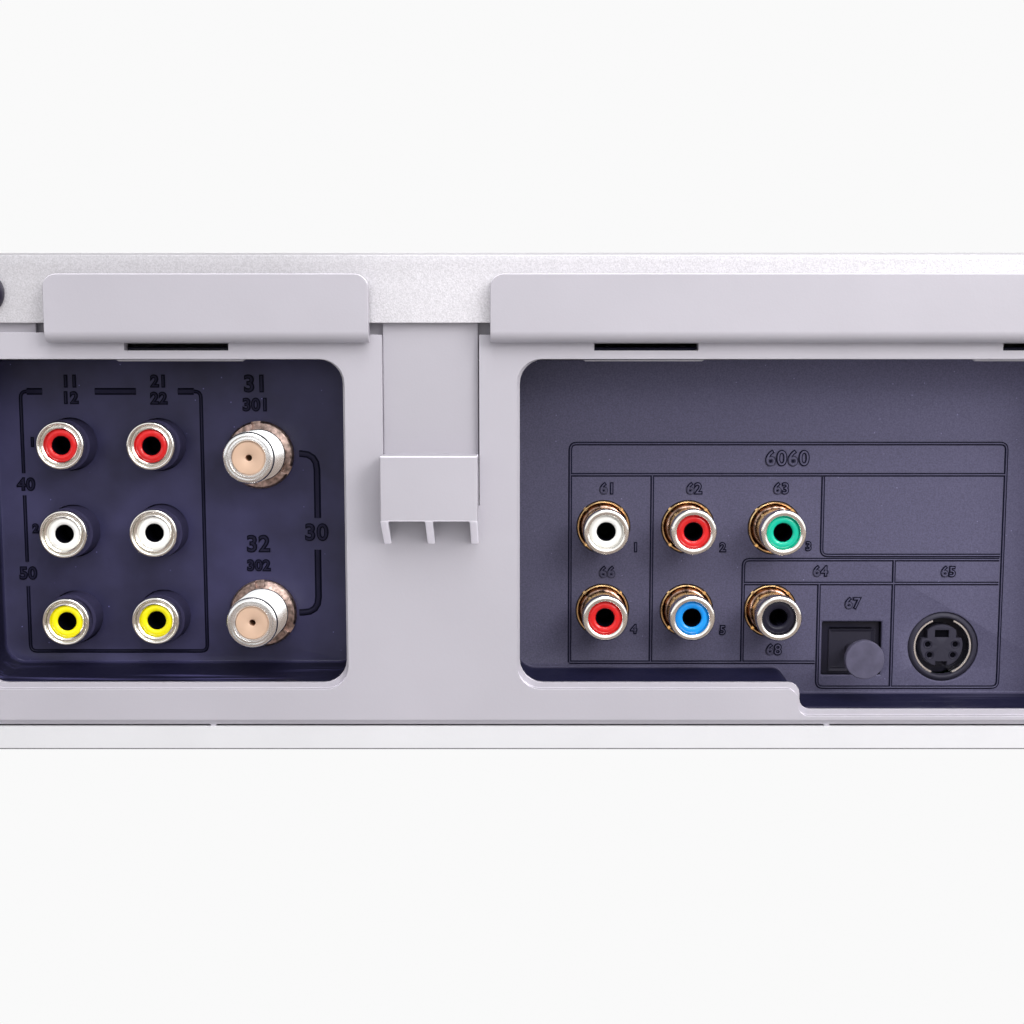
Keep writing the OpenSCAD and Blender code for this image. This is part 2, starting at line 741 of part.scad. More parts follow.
module mains_inlet() color("black") difference() {
    union() {
        upright(rear_y, 1.6) round_rect([inlet_x - inlet_w / 2 - 4, inlet_x + inlet_w / 2 + 4],
            [inlet_z - inlet_h / 2 - 2, inlet_z + inlet_h / 2 + 2], 2);
        span([inlet_x - inlet_w / 2, inlet_x + inlet_w / 2], [rear_y - inlet_d, rear_y + 1],
            [inlet_z - inlet_h / 2, inlet_z + inlet_h / 2]);
    }
    for (s = [-1, 1])
        bar_y(inlet_x + s * inlet_lobe_dx, rear_y - socket_d, inlet_z, inlet_lobe_r, 20);
    span([inlet_x - inlet_lobe_dx, inlet_x + inlet_lobe_dx], [rear_y - socket_d, rear_y + 3],
        [inlet_z - inlet_lobe_r + 1, inlet_z + inlet_lobe_r - 1]);
    for (s = [-1, 1])
        bar_y(inlet_x + s * inlet_lobe_dx, rear_y - inlet_d - 2, inlet_z, mains_pin_r + running, 8);
}

module mains_pins() color("gold") for (s = [-1, 1])
    bar_y(inlet_x + s * inlet_lobe_dx, rear_y - inlet_d - 3, inlet_z, mains_pin_r, inlet_d);

// ---------- boards ----------

module jack_board() color("darkgreen") {
    span([tape_jacks_x[0] - 7, tape_jacks_x[1] + 7], [jack_board_y, block_y[0]], jack_board_z);
    span([svideo_x - 9, disc_jacks_x[0] + 14], [jack_board_y, block_y[0]], jack_board_z);
}

module tuner_can() color("silver")
    span([aerial_x - 8, aerial_x + 8], [plate_back - 45, plate_back],
        [aerials_z[0] - 12, aerials_z[1] + 12]);

// The main board and the power board, side by side on the pan's posts
module lower_boards() color("darkgreen") {
    span(power_board_x, power_board_y, [board_z, board_z + board_t]);
    span(main_board_x, main_board_y, [board_z, board_z + board_t]);
    for (c = [[10, -40, 22], [40, -60, 16], [-14, 0, 14], [90, -30, 12]])
        translate([c[0], c[1], board_z + board_t - eps]) cube([c[2], c[2], 2]);
}

module power_parts() {
    transformer();
    capacitors();
}

module transformer() color("goldenrod") {
    z = board_z + board_t;
    c = power_board_x[0] + 26;
    span([c - 15, c + 15], [power_board_y[0] + 12, power_board_y[0] + 36], [z, z + 6]);
    span([c - 11, c + 11], [power_board_y[0] + 9, power_board_y[0] + 39], [z + 6 - eps, z + 20]);
    span([c - 15, c + 15], [power_board_y[0] + 12, power_board_y[0] + 36], [z + 20 - eps, z + 24]);
}

module capacitors() color("navy") {
    z = board_z + board_t;
    for (c = [[48, 12, 9, 28], [70, 10, 5, 18], [82, 10, 5, 18], [70, 26, 4, 14], [82, 26, 4, 14]])
        translate([power_board_x[0] + c[0], power_board_y[0] + c[1], z]) {
            cylinder(r = c[2], h = c[3] - 0.6);
            cylinder(r = c[2] - 0.6, h = c[3]);
        }
}

// ---------- front ----------

deck_button_cz = pan_z + deck_button_z;
deck_buttons_x = [for (i = [0:3]) deck_x - 60 + i * deck_button_pitch];
side_buttons_x = [loader_x - 82, loader_x + 84];
rocker_x = deck_x + 72;
rocker_w = 11;
rocker_h = 24;
rocker_play = 0.7;
rocker_pin_y = front_back + 2.2;
rocker_pin_r = 1.5;
door_z0 = door_z1 - door_h;
door_pin_y = front_back + 2;
door_pin_z = door_z1 - 2.2;
board_posts_front = [[loader_x - 72, 24], [loader_x + 100, 26], [deck_x - 80, 26], [deck_x + 92, 26]];

module front_panel() color("silver") difference() {
    union() {
        difference() {
            upright(front_y, front_d) round_rect([-side_x, side_x], [front_z0, front_z1], cover_r);
            upright(front_back, front_d) round_rect([front_t - side_x, side_x - front_t],
                [front_z0 + front_t, front_z1 - front_t], 1);
        }
        for (s = [-1, 1]) span([deck_x + s * (door_w / 2 + 4) - 2.5, deck_x + s * (door_w / 2 + 4) + 2.5],
            [front_back - eps, front_back + 5], [door_pin_z - 3, door_pin_z + 3]);
        for (s = [-1, 1]) span([rocker_x + s * (rocker_w / 2 + 3) - 1.5,
            rocker_x + s * (rocker_w / 2 + 3) + 1.5], [front_back - eps, front_back + 4.6],
            [deck_button_cz - 3, deck_button_cz + 3]);
        for (p = board_posts_front)
            bar_y(p[0], front_back - eps, pan_z + p[1], 3, board_gap + eps);
    }
    span([loader_x - fascia_w / 2 - fit, loader_x + fascia_w / 2 + fit],
        [front_y - 1, front_back + 1], [fascia_z - fascia_h / 2 - fit, fascia_z + fascia_h / 2 + fit]);
    span([deck_x - door_w / 2 - fit, deck_x + door_w / 2 + fit], [front_y - 1, front_back + 1],
        [door_z0 - 0.8, door_z1 + fit]);
    upright(front_y - 1, front_t + 2) round_rect([loader_x - window_w / 2 - fit / 2,
        loader_x + window_w / 2 + fit / 2],
        [window_cz - window_h / 2 - fit / 2, window_cz + window_h / 2 + fit / 2], 3);
    for (x = deck_buttons_x)
        bar_y(x, front_y - 1, deck_button_cz, deck_button_d / 2 + fit, front_t + 2);
    for (x = side_buttons_x)
        bar_y(x, front_y - 1, window_cz, deck_button_d / 2 + fit, front_t + 2);
    upright(front_y - 1, front_t + 2) round_rect([rocker_x - rocker_w / 2 - fit,
        rocker_x + rocker_w / 2 + fit], [deck_button_cz - rocker_h / 2 - rocker_play,
        deck_button_cz + rocker_h / 2 + rocker_play], 3);
    bar_x(rocker_x - rocker_w / 2 - 6, rocker_pin_y, deck_button_cz, rocker_pin_r + running,
        rocker_w + 12);
    bar_x(deck_x - door_w / 2 - 4, door_pin_y, door_pin_z, door_pin_r + running, door_w + 8);
}

button_spots = concat([for (x = side_buttons_x) [x, window_cz]],
    [for (x = deck_buttons_x) [x, deck_button_cz]],
    [for (s = [-1, 1]) [rocker_x, deck_button_cz + s * 8.5]]);

module front_board() color("darkgreen") {
    span([5 - side_x, side_x - 14], [front_board_y, front_board_y + front_board_t], front_board_z);
    for (b = button_spots) {
        span([b[0] - 3, b[0] + 3], [front_board_y - switch_h + 1, front_board_y + eps],
            [b[1] - 3, b[1] + 3]);
        bar_y(b[0], front_board_y - switch_h, b[1], 1.7, 2);
    }
}

display_w = 108;
display_h = 16;
window_flange_t = 1.4;

module display_window() color("darkslategray") {
    upright(front_y, front_t + eps) round_rect([loader_x - window_w / 2, loader_x + window_w / 2],
        [window_cz - window_h / 2, window_cz + window_h / 2], 3);
    upright(front_back, window_flange_t) round_rect([loader_x - window_w / 2 - 2,
        loader_x + window_w / 2 + 2],
        [window_cz - window_h / 2 - 2, window_cz + window_h / 2 + 1.6], 3);
}

module display_module() color("teal")
    span([loader_x - display_w / 2, loader_x + display_w / 2],
        [front_back + window_flange_t + fit, front_board_y],
        [window_cz - display_h / 2, window_cz + display_h / 2]);

// A round push button: cap, flange behind the panel, and a stem that meets its switch
module round_button(x, z) {
    r = deck_button_d / 2;
    turned_y(x, front_y - button_out, z) polygon([[0, 0], [r - 0.6, 0], [r, 0.6],
        [r, button_out + front_t + 0.1], [r + button_wall, button_out + front_t + 0.1],
        [r + button_wall, button_out + front_t + 0.1 + flange_t],
        [2, button_out + front_t + 0.1 + flange_t], [2, button_end - front_y + button_out],
        [0, button_end - front_y + button_out]]);
}

module power_button() color("silver") round_button(side_buttons_x[0], window_cz);
module open_button() color("silver") round_button(side_buttons_x[1], window_cz);
module eject_button() color("silver") round_button(deck_buttons_x[0], deck_button_cz);
module stop_button() color("silver") round_button(deck_buttons_x[1], deck_button_cz);
module play_button() color("silver") round_button(deck_buttons_x[2], deck_button_cz);
module record_button() color("silver") round_button(deck_buttons_x[3], deck_button_cz);

module channel_rocker() color("silver") {
    upright(front_y - button_out, rocker_pin_y - front_y + button_out)
        round_rect([rocker_x - rocker_w / 2, rocker_x + rocker_w / 2],
            [deck_button_cz - rocker_h / 2, deck_button_cz + rocker_h / 2], 2.5);
    bar_x(rocker_x - rocker_w / 2 - 4, rocker_pin_y, deck_button_cz, rocker_pin_r, rocker_w + 8);
}

module cassette_door() color("silver") {
    span([deck_x - door_w / 2, deck_x + door_w / 2], [front_y, front_y + door_t],
        [door_z0, door_z1]);
    for (s = [-1, 1]) span([deck_x + s * (door_w / 2 - 2) - 1.5, deck_x + s * (door_w / 2 - 2) + 1.5],
        [front_y + door_t - eps, door_pin_y + 1.5], [door_pin_z - 1.8, door_pin_z + 1.8]);
    bar_x(deck_x - door_w / 2 - 4, door_pin_y, door_pin_z, door_pin_r, door_w + 8);
}

// ---------- disc loader ----------

ledge = 5;

module loader_frame() color("dimgray") {
    x0 = loader_x - loader_w / 2;
    x1 = loader_x + loader_w / 2;
    difference() {
        span([x0, x1], [loader_y0, loader_y1], [loader_z0, loader_z1]);
        span([x0 + loader_wall, x1 - loader_wall], [loader_y0 - 1, loader_y1 - loader_wall],
            [loader_z0 + loader_wall, loader_z1 + 1]);
        span([loader_x - traverse_w / 2 - 3, loader_x + traverse_w / 2 + 3],
            [traverse_y0 - 4, hinge_y - 6], [loader_z0 - 1, loader_z0 + loader_wall + 1]);
    }
    for (s = [-1, 1]) {
        rail = loader_x + s * (loader_w / 2 - 1 - ledge / 2);
        span([rail - ledge / 2, rail + ledge / 2], [loader_y0, loader_y1 - loader_wall],
            [tray_z0 - running - 1.5, tray_z0 - running]);
        for (y = [loader_y0 + 10, loader_y0 + 80]) span([rail - ledge / 2, rail + ledge / 2],
            [y, y + 14], [tray_z1 + running, tray_z1 + running + 1.5]);
        hinge_ear(loader_x + s * (traverse_w / 2 + 1 + hinge_ear_t / 2));
    }
    translate([gear_x, gear_y, loader_z0 + loader_wall - eps]) {
        cylinder(r = 4, h = 2 + eps);
        cylinder(r = 2, h = tray_z0 + 2 - loader_z0 - loader_wall);
    }
}

module hinge_ear(x) difference() {
    span([x - hinge_ear_t / 2, x + hinge_ear_t / 2], [hinge_y - 4, hinge_y + 4],
        [loader_z0 + loader_wall - eps, hinge_z + 4]);
    bar_x(x - hinge_ear_t, hinge_y, hinge_z, hinge_pin_r + running, 2 * hinge_ear_t);
}

module disc_tray() color("darkgray") {
    x0 = loader_x - tray_w / 2;
    x1 = loader_x + tray_w / 2;
    difference() {
        span([x0, x1], [tray_y0, tray_y0 + tray_l], [tray_z0, tray_z1]);
        translate([loader_x, disc_y, tray_z1 - 2.2]) cylinder(r = disc_r, h = 5);
        translate([loader_x, disc_y, tray_z0 - 1]) cylinder(r = slot_half, h = tray_t + 2);
        span([loader_x - slot_half, loader_x + slot_half], [disc_y, tray_y0 + tray_l - 4],
            [tray_z0 - 1, tray_z1 + 1]);
        span([gear_x - pinion_r - fit, gear_x + pinion_r + fit],
            [tray_y0 + 6, tray_y0 + tray_l + 1], [tray_z0 - 1, tray_z0 + 3.3]);
    }
}

module tray_fascia() color("silver")
    span([loader_x - fascia_w / 2, loader_x + fascia_w / 2], [front_y, tray_y0],
        [fascia_z - fascia_h / 2, fascia_z + fascia_h / 2]);

// A disc with straight-flanked teeth
module toothed(r, teeth, depth, h) {
    linear_extrude(h) {
        circle(r - depth);
        for (i = [0:teeth - 1]) rotate(i * 360 / teeth) polygon([[r - depth - 0.5, -depth * 0.55],
            [r, -depth * 0.25], [r, depth * 0.25], [r - depth - 0.5, depth * 0.55]]);
    }
}

module loading_gear() color("ivory") translate([gear_x, gear_y, 0]) difference() {
    union() {
        translate([0, 0, loader_z0 + loader_wall + 2 + fit]) toothed(gear_r, gear_teeth, 1.6, 2.5);
        translate([0, 0, loader_z0 + loader_wall + 2 + fit])
            toothed(pinion_r, pinion_teeth, 1.4, tray_z0 + 3 - loader_z0 - loader_wall - 2 - fit);
    }
    translate([0, 0, loader_z0]) cylinder(r = 2 + running, h = 30);
}

// Places what rides on the traverse at the lowered angle
module lowered() {
    translate([0, hinge_y, hinge_z]) rotate([traverse_tilt, 0, 0])
        translate([0, -hinge_y, -hinge_z]) children();
}

rail_z = traverse_z - 4;
rail_ends = [disc_y + 8, hinge_y - 49];
motor_r = 11;

module traverse() color("gray") lowered() {
    difference() {
        union() {
            span([loader_x - traverse_w / 2, loader_x + traverse_w / 2],
                [traverse_y0, hinge_y + 3], [traverse_z, traverse_z + traverse_t]);
            translate([loader_x, disc_y, traverse_z - 6]) cylinder(r = motor_r, h = 6 + eps);
        }
        span([loader_x - 20, loader_x + 20], [disc_y + 12, rail_ends[1] - 4],
            [traverse_z - 1, traverse_z + 5]);
        translate([loader_x, disc_y, traverse_z - 9]) cylinder(r = 1 + running, h = 20);
    }
    for (s = [-1, 1]) {
        for (y = [rail_ends[0], rail_ends[1] - 4])
            span([loader_x + s * 15 - 2.5, loader_x + s * 15 + 2.5], [y, y + 4],
                [rail_z - 2.5, traverse_z + eps]);
        bar_y(loader_x + s * 15, rail_ends[0], rail_z, rod_r, rail_ends[1] - rail_ends[0]);
    }
    bar_x(loader_x - traverse_w / 2 - 1 - hinge_ear_t, hinge_y, hinge_z, hinge_pin_r,
        traverse_w + 2 + 2 * hinge_ear_t);
}

module turntable() color("black") lowered() translate([loader_x, disc_y, 0]) {
    translate([0, 0, traverse_z - 5]) cylinder(r = 1, h = turntable_top - traverse_z + 5);
    translate([0, 0, turntable_top - 2]) cylinder(r = turntable_r, h = 2);
    translate([0, 0, turntable_top - 5]) cylinder(r = 5, h = 4);
    translate([0, 0, turntable_top - eps]) cylinder(r = 7.4, h = 1.4);
    translate([0, 0, turntable_top + 1]) cylinder(r = 5.5, h = 1);
}

module pickup() color("dimgray") lowered() difference() {
    union() {
        span([loader_x - 19, loader_x + 19], [pickup_y - 11, pickup_y + 11],
            [rail_z - 3, traverse_z + 6]);
        translate([loader_x, pickup_y - 4, traverse_z + 6 - eps]) cylinder(r = 5, h = 3);
        translate([loader_x, pickup_y - 4, traverse_z + 8]) cylinder(r = 3.2, h = 1.6);
    }
    for (s = [-1, 1])
        bar_y(loader_x + s * 15, pickup_y - 12, rail_z, rod_r + running, 24);
}

module clamp_bridge() color("silver") difference() {
    span([loader_x - loader_w / 2, loader_x + loader_w / 2],
        [disc_y - bridge_w / 2, disc_y + bridge_w / 2], [loader_z1, loader_z1 + bridge_t]);
    translate([loader_x, disc_y, loader_z1 - 1]) cylinder(r = clamper_neck_r + 0.5, h = 4);
    for (s = [-1, 1]) translate([loader_x + s * 45, disc_y, loader_z1 - 1]) cylinder(r = 10, h = 4);
}

module clamper() color("black") translate([loader_x, disc_y, 0]) difference() {
    z0 = turntable_top + 1.5;
    union() {
        translate([0, 0, z0]) cylinder(r = clamper_r, h = 1.9);
        translate([0, 0, z0]) cylinder(r = clamper_neck_r, h = loader_z1 + bridge_t + 1 - z0);
        translate([0, 0, loader_z1 + bridge_t + running]) cylinder(r = clamper_r, h = 1.8);
    }
    translate([0, 0, z0 - 1]) cylinder(r = 8.2, h = 2.4);
}

// ---------- cassette deck ----------

deck_side = [deck_x - deck_w / 2, deck_x + deck_w / 2];
reels_x = [deck_x - reel_pitch / 2, deck_x + reel_pitch / 2];
holder_pin_z = holder_z0 + 10;
reel_post_h = 8;
arm_z = deck_top + 14;
slot_play = 0.1;

module deck_chassis() color("silver") {
    difference() {
        span(deck_side, [deck_y0, deck_y1], [deck_plate_z, deck_top]);
        translate([capstan_x, capstan_y, deck_plate_z - 1]) cylinder(r = capstan_r + running, h = 5);
        translate([deck_x, drum_y, deck_plate_z - 1]) cylinder(r = drum_shaft_r + 1, h = 5);
        for (x = [deck_x - 60, deck_x + 30]) span([x, x + 30], [deck_y0 + 8, deck_y0 + 20],
            [deck_plate_z - 1, deck_top + 1]);
    }
    for (x = [deck_side[0], deck_side[1] - deck_t]) difference() {
        span([x, x + deck_t], [holder_y0 - 4, holder_y1 + 5], [deck_plate_z, wall_z1]);
        for (y = holder_pins_y) span([x - 1, x + deck_t + 1],
            [y - holder_pin_r - slot_play, y + holder_pin_r + slot_play],
            [holder_pin_z - holder_travel - holder_pin_r - slot_play,
            holder_pin_z + holder_pin_r + slot_play]);
    }
    translate([capstan_x, capstan_y, deck_top - eps]) difference() {
        cylinder(r = bush_r, h = 8);
        translate([0, 0, -1]) cylinder(r = capstan_r + running, h = 10);
    }
    for (x = reels_x) translate([x, reel_y, deck_top - eps]) {
        cylinder(r = 5, h = 1 + eps);
        cylinder(r = 2.5, h = reel_post_h + 1);
    }
    translate([arm_x, arm_y, deck_top - eps]) {
        cylinder(r = 5, h = arm_z - deck_top - running + eps);
        cylinder(r = arm_post_r, h = arm_z - deck_top + 7);
    }
}

module cassette_holder() color("silver") {
    x0 = deck_x - holder_w / 2;
    x1 = deck_x + holder_w / 2;
    z1 = holder_z0 + holder_h;
    difference() {
        span([x0, x1], [holder_y0, holder_y1], [holder_z0, z1]);
        span([x0 + holder_t, x1 - holder_t], [holder_y0 - 1, holder_y1 + 1],
            [holder_z0 + holder_t, z1 - holder_t]);
        for (x = reels_x) translate([x, reel_y, holder_z0 - 1]) cylinder(r = reel_r + 2, h = 3);
        span([deck_x - 50, deck_x + 50], [holder_y0 + 20, holder_y1 - 16], [z1 - 3, z1 + 1]);
        span([deck_x - 78, deck_x + 78], [holder_y1 - 24, holder_y1 + 1],
            [holder_z0 - 1, holder_z0 + 2]);
    }
    for (y = holder_pins_y) {
        bar_x(x0 - (deck_w - holder_w) / 2 - 1, y, holder_pin_z, holder_pin_r,
            (deck_w - holder_w) / 2 + 1.5);
        bar_x(x1 - 0.5, y, holder_pin_z, holder_pin_r, (deck_w - holder_w) / 2 + 1.5);
    }
}

drum_z = deck_top + drum_base_h;

module lower_drum() color("lightgray") translate([deck_x, drum_y, 0]) difference() {
    union() {
        translate([0, 0, deck_top]) cylinder(r = drum_r + 1.5, h = drum_base_h);
        translate([0, 0, deck_top]) cylinder(r = drum_r, h = drum_base_h + lower_drum_h);
    }
    translate([0, 0, deck_top - 1]) cylinder(r = drum_shaft_r + running, h = 40);
}

module upper_drum() color("gainsboro") translate([deck_x, drum_y, 0]) {
    z0 = drum_z + lower_drum_h + drum_gap;
    difference() {
        translate([0, 0, z0]) cylinder(r = drum_r, h = upper_drum_h);
        translate([0, 0, z0 + upper_drum_h - 3]) cylinder(r = drum_r - 4, h = 5);
        for (a = [0:90:270]) rotate(a) translate([drum_r - 1.2, -2, z0 - 1]) cube([3, 4, 3]);
    }
    translate([0, 0, z0 + upper_drum_h - 3 - eps]) cylinder(r = 9, h = 2.5);
    translate([0, 0, deck_plate_z - 1]) cylinder(r = drum_shaft_r, h = z0 - deck_plate_z + 2);
}

module capstan() color("gainsboro") translate([capstan_x, capstan_y, 0]) {
    translate([0, 0, deck_plate_z - 3 - flywheel_t]) difference() {
        cylinder(r = flywheel_r, h = flywheel_t);
        translate([0, 0, flywheel_t / 2]) difference() {
            cylinder(r = flywheel_r - 3, h = flywheel_t);
            translate([0, 0, -1]) cylinder(r = 6, h = flywheel_t + 2);
        }
    }
    translate([0, 0, deck_plate_z - 4]) cylinder(r = capstan_r, h = 34);
}

// The arm swings from its post; its free end carries the roller's pin
arm_len = norm([arm_x - capstan_x, arm_y - capstan_y - roller_r - capstan_r - fit]);
arm_rest = 172;
roller_x = arm_x + arm_len * cos(arm_rest);
roller_y = arm_y + arm_len * sin(arm_rest);

module pinch_arm() color("dimgray") difference() {
    union() {
        translate([arm_x, arm_y, arm_z]) cylinder(r = 4.5, h = 6);
        translate([arm_x, arm_y, arm_z]) rotate(arm_rest) translate([0, -3, 0])
            cube([arm_len, 6, 2]);
        translate([roller_x, roller_y, arm_z]) cylinder(r = 3.4, h = 2);
        translate([roller_x, roller_y, arm_z]) cylinder(r = 1.2, h = 16);
    }
    translate([arm_x, arm_y, arm_z - 1]) cylinder(r = arm_post_r + running, h = 10);
}

module pinch_roller() color("black") translate([roller_x, roller_y, arm_z + 2 + fit]) difference() {
    cylinder(r = roller_r, h = 12);
    translate([0, 0, -1]) cylinder(r = 1.2 + running, h = 15);
}

// A reel table with the ribbed spindle that enters the cassette's hub
module reel_table(x) translate([x, reel_y, deck_top + 1 + running]) difference() {
    union() {
        cylinder(r = reel_r, h = 2.5);
        cylinder(r = spindle_r, h = spindle_h);
        for (a = [0:60:300]) rotate(a) translate([0, -0.7, 0]) cube([spindle_r + 1.6, 1.4, 10]);
    }
    translate([0, 0, -1]) cylinder(r = 2.5 + running, h = reel_post_h + 2);
}

module supply_reel() color("black") reel_table(reels_x[0]);
module takeup_reel() color("black") reel_table(reels_x[1]);

base_pan();
feet();
top_cover();
cover_screws();
rear_panel();
jack_well_tape();
jack_well_disc();
phono_shells_tape();
phono_block_tape();
phono_shells_disc();
phono_block_disc();
phono_base_rings();
phono_inserts_red();
phono_inserts_white();
phono_inserts_yellow();
phono_insert_green();
phono_insert_blue();
aerial_connectors();
aerial_insulators();
aerial_lock_rings();
video_socket_shell();
video_socket_insert();
optical_socket();
optical_cap();
mains_inlet();
mains_pins();
jack_board();
tuner_can();
lower_boards();
power_parts();
front_panel();
front_board();
display_window();
display_module();
cassette_door();
power_button();
open_button();
eject_button();
stop_button();
play_button();
record_button();
channel_rocker();
loader_frame();
disc_tray();
tray_fascia();
loading_gear();
traverse();
turntable();
pickup();
clamp_bridge();
clamper();
deck_chassis();
cassette_holder();
lower_drum();
upper_drum();
capstan();
pinch_arm();
pinch_roller();
supply_reel();
takeup_reel();
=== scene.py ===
"""Looks of a disc and cassette combination player: a low steel case with a moulded jack panel."""

import json
import math

import bpy
from mathutils import Matrix, Vector

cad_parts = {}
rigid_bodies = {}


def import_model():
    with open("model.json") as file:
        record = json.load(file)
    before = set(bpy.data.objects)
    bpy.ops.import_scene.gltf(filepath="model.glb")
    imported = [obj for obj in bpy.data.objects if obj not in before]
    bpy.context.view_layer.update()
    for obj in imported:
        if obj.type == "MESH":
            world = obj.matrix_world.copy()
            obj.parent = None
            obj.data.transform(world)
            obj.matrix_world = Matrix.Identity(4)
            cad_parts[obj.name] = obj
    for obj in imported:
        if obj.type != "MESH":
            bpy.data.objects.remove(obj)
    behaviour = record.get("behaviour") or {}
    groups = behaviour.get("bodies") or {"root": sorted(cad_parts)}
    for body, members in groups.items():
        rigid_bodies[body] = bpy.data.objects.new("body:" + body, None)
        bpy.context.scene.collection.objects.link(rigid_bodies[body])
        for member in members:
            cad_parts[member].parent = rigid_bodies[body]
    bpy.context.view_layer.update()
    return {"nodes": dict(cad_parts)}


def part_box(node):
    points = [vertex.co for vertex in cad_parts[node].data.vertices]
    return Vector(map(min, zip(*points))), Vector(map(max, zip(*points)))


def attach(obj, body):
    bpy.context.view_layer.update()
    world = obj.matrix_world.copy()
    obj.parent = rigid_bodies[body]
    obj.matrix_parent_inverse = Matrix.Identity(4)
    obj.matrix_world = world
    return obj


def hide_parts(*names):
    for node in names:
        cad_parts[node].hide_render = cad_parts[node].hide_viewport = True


bl_info = {
    "name": "Combination player",
    "version": (1, 0, 0),
    "blender": (4, 5, 0),
    "location": "View3D > Sidebar > Player",
    "description": "Dresses the case, jack wells, disc loader and cassette deck of a player",
    "category": "Object",
}

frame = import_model()
NODES = frame["nodes"]

MM = 0.001
MERGE = 1e-6
TAU = 2 * math.pi


def edges_of(node):
    """Lowest and highest corner of a CAD node, in millimetres."""
    low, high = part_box(node)
    return [v / MM for v in low], [v / MM for v in high]


# Planes that the pieces share with the case, in millimetres
PLATE_T = 2
_, REAR_Y, TOP_Z = edges_of("top_cover")[1]
PLATE_BACK = edges_of("jack_well_tape")[0][1]
PLATE_Y = PLATE_BACK + PLATE_T
PAN_Z = edges_of("base_pan")[0][2]
FRONT_Y = edges_of("front_panel")[0][1]


# ---------- settings ----------


def length(name, text, value):
    """A length in millimetres, shown in the scene's units."""
    return bpy.props.FloatProperty(name=name, description=text, default=value * MM, unit="LENGTH")


def colour(name, text, value):
    return bpy.props.FloatVectorProperty(
        name=name, description=text, default=value, subtype="COLOR", min=0, max=1
    )


class StageSettings(bpy.types.PropertyGroup):
    """Camera and floor."""

    camera_distance: length("Camera distance", "Distance from the jack panel to the camera", 221)
    camera_height: length("Camera height", "Height of the camera above the floor", 75.4)
    camera_lens: bpy.props.FloatProperty(
        name="Focal length", description="Focal length in millimetres", default=43.66
    )
    camera_pitch: bpy.props.FloatProperty(
        name="Pitch",
        description="How far the camera looks down",
        default=math.radians(5.84),
        subtype="ANGLE",
    )
    floor_colour: colour("Floor", "Colour of the floor", (0.46, 0.46, 0.46))


class PanelSettings(bpy.types.PropertyGroup):
    """Soft edges and forms of the moulded rear panel."""

    opening_edge: length("Opening edge", "Rounding of the two openings' edges", 0.22)
    hood_corner: length("Hood corner", "Radius of a hood's upper corners", 2.4)
    hood_foot: length("Hood foot", "Rounding of a hood's lower edge", 1.9)
    cover_bend: length("Cover bend", "Radius of the cover's rear upper bend", 0.6)
    ledge: length("Ledge", "Depth of the step along an opening's lower edge", 1.3)
    skirt: length("Skirt", "Height of the slanted strip along the panel's lower edge", 1.0)
    well_corner: length("Well corner", "Corner radius inside the jack wells", 3.8)
    tape_floor_rise: length("Cassette floor rise", "Rise of the left floor to its plate", 1.9)
    disc_floor_rise: length("Disc floor rise", "Rise of the right floor to its plate", 0.8)
    mark_edge: length("Mark edge", "Width of the smooth edge around raised marks", 0.22)
    number_height: length("Number height", "Height of the raised numbers", 2.7)


class JackSettings(bpy.types.PropertyGroup):
    """Sizes of the connectors."""

    thread_pitch: length("Thread pitch", "Pitch of the aerial connectors' thread", 0.79)
    rim: length("Rim", "Length of a phono shell's rolled rim", 1.6)
    cross: length("Cross cut", "Width of the cross cut in the screw heads", 0.8)


class FinishSettings(bpy.types.PropertyGroup):
    """Colours of the finishes."""

    panel: colour("Rear panel", "Satin paint of the moulded panel", (0.452, 0.432, 0.48))
    cover: colour("Cover", "Metallic paint of the cover", (0.72, 0.703, 0.742))
    pan: colour("Pan", "Paint of the bottom pan", (0.715, 0.715, 0.74))
    tape_well: colour("Cassette well", "Plastic of the left well", (0.032, 0.03, 0.076))
    disc_well: colour("Disc well", "Plastic of the right well", (0.081, 0.076, 0.132))
    nickel: colour("Nickel", "Plating of the shells", (0.95, 0.93, 0.88))
    gold: colour("Gold", "Plating of the base rings", (0.8, 0.55, 0.28))
    red: colour("Red", "Red inserts", (0.66, 0.012, 0.014))
    white: colour("White", "White inserts", (0.87, 0.86, 0.83))
    yellow: colour("Yellow", "Yellow inserts", (0.9, 0.8, 0.0))
    green: colour("Green", "Green insert", (0.0, 0.48, 0.31))
    blue: colour("Blue", "Blue insert", (0.004, 0.28, 0.8))


GROUPS = {
    "player_stage": StageSettings,
    "player_panel": PanelSettings,
    "player_jacks": JackSettings,
    "player_finish": FinishSettings,
}


def settings(name):
    return getattr(bpy.context.scene, name)


def in_mm(group, name):
    """A length setting in millimetres."""
    return getattr(settings(group), name) / MM


# ---------- modelling ----------


def close():
    """Leaves edit mode."""
    bpy.ops.object.mode_set(mode="OBJECT")


def deselect():
    if bpy.context.mode != "OBJECT":
        close()
    bpy.ops.object.select_all(action="DESELECT")


def only(piece):
    deselect()
    piece.select_set(True)
    bpy.context.view_layer.objects.active = piece


def edit(piece, kind="VERT"):
    """Opens a piece for editing with all of it selected."""
    only(piece)
    bpy.ops.object.mode_set(mode="EDIT")
    bpy.ops.mesh.select_mode(type=kind)
    bpy.ops.mesh.select_all(action="SELECT")


def named(name):
    piece = bpy.context.view_layer.objects.active
    piece.name = piece.data.name = name
    return piece


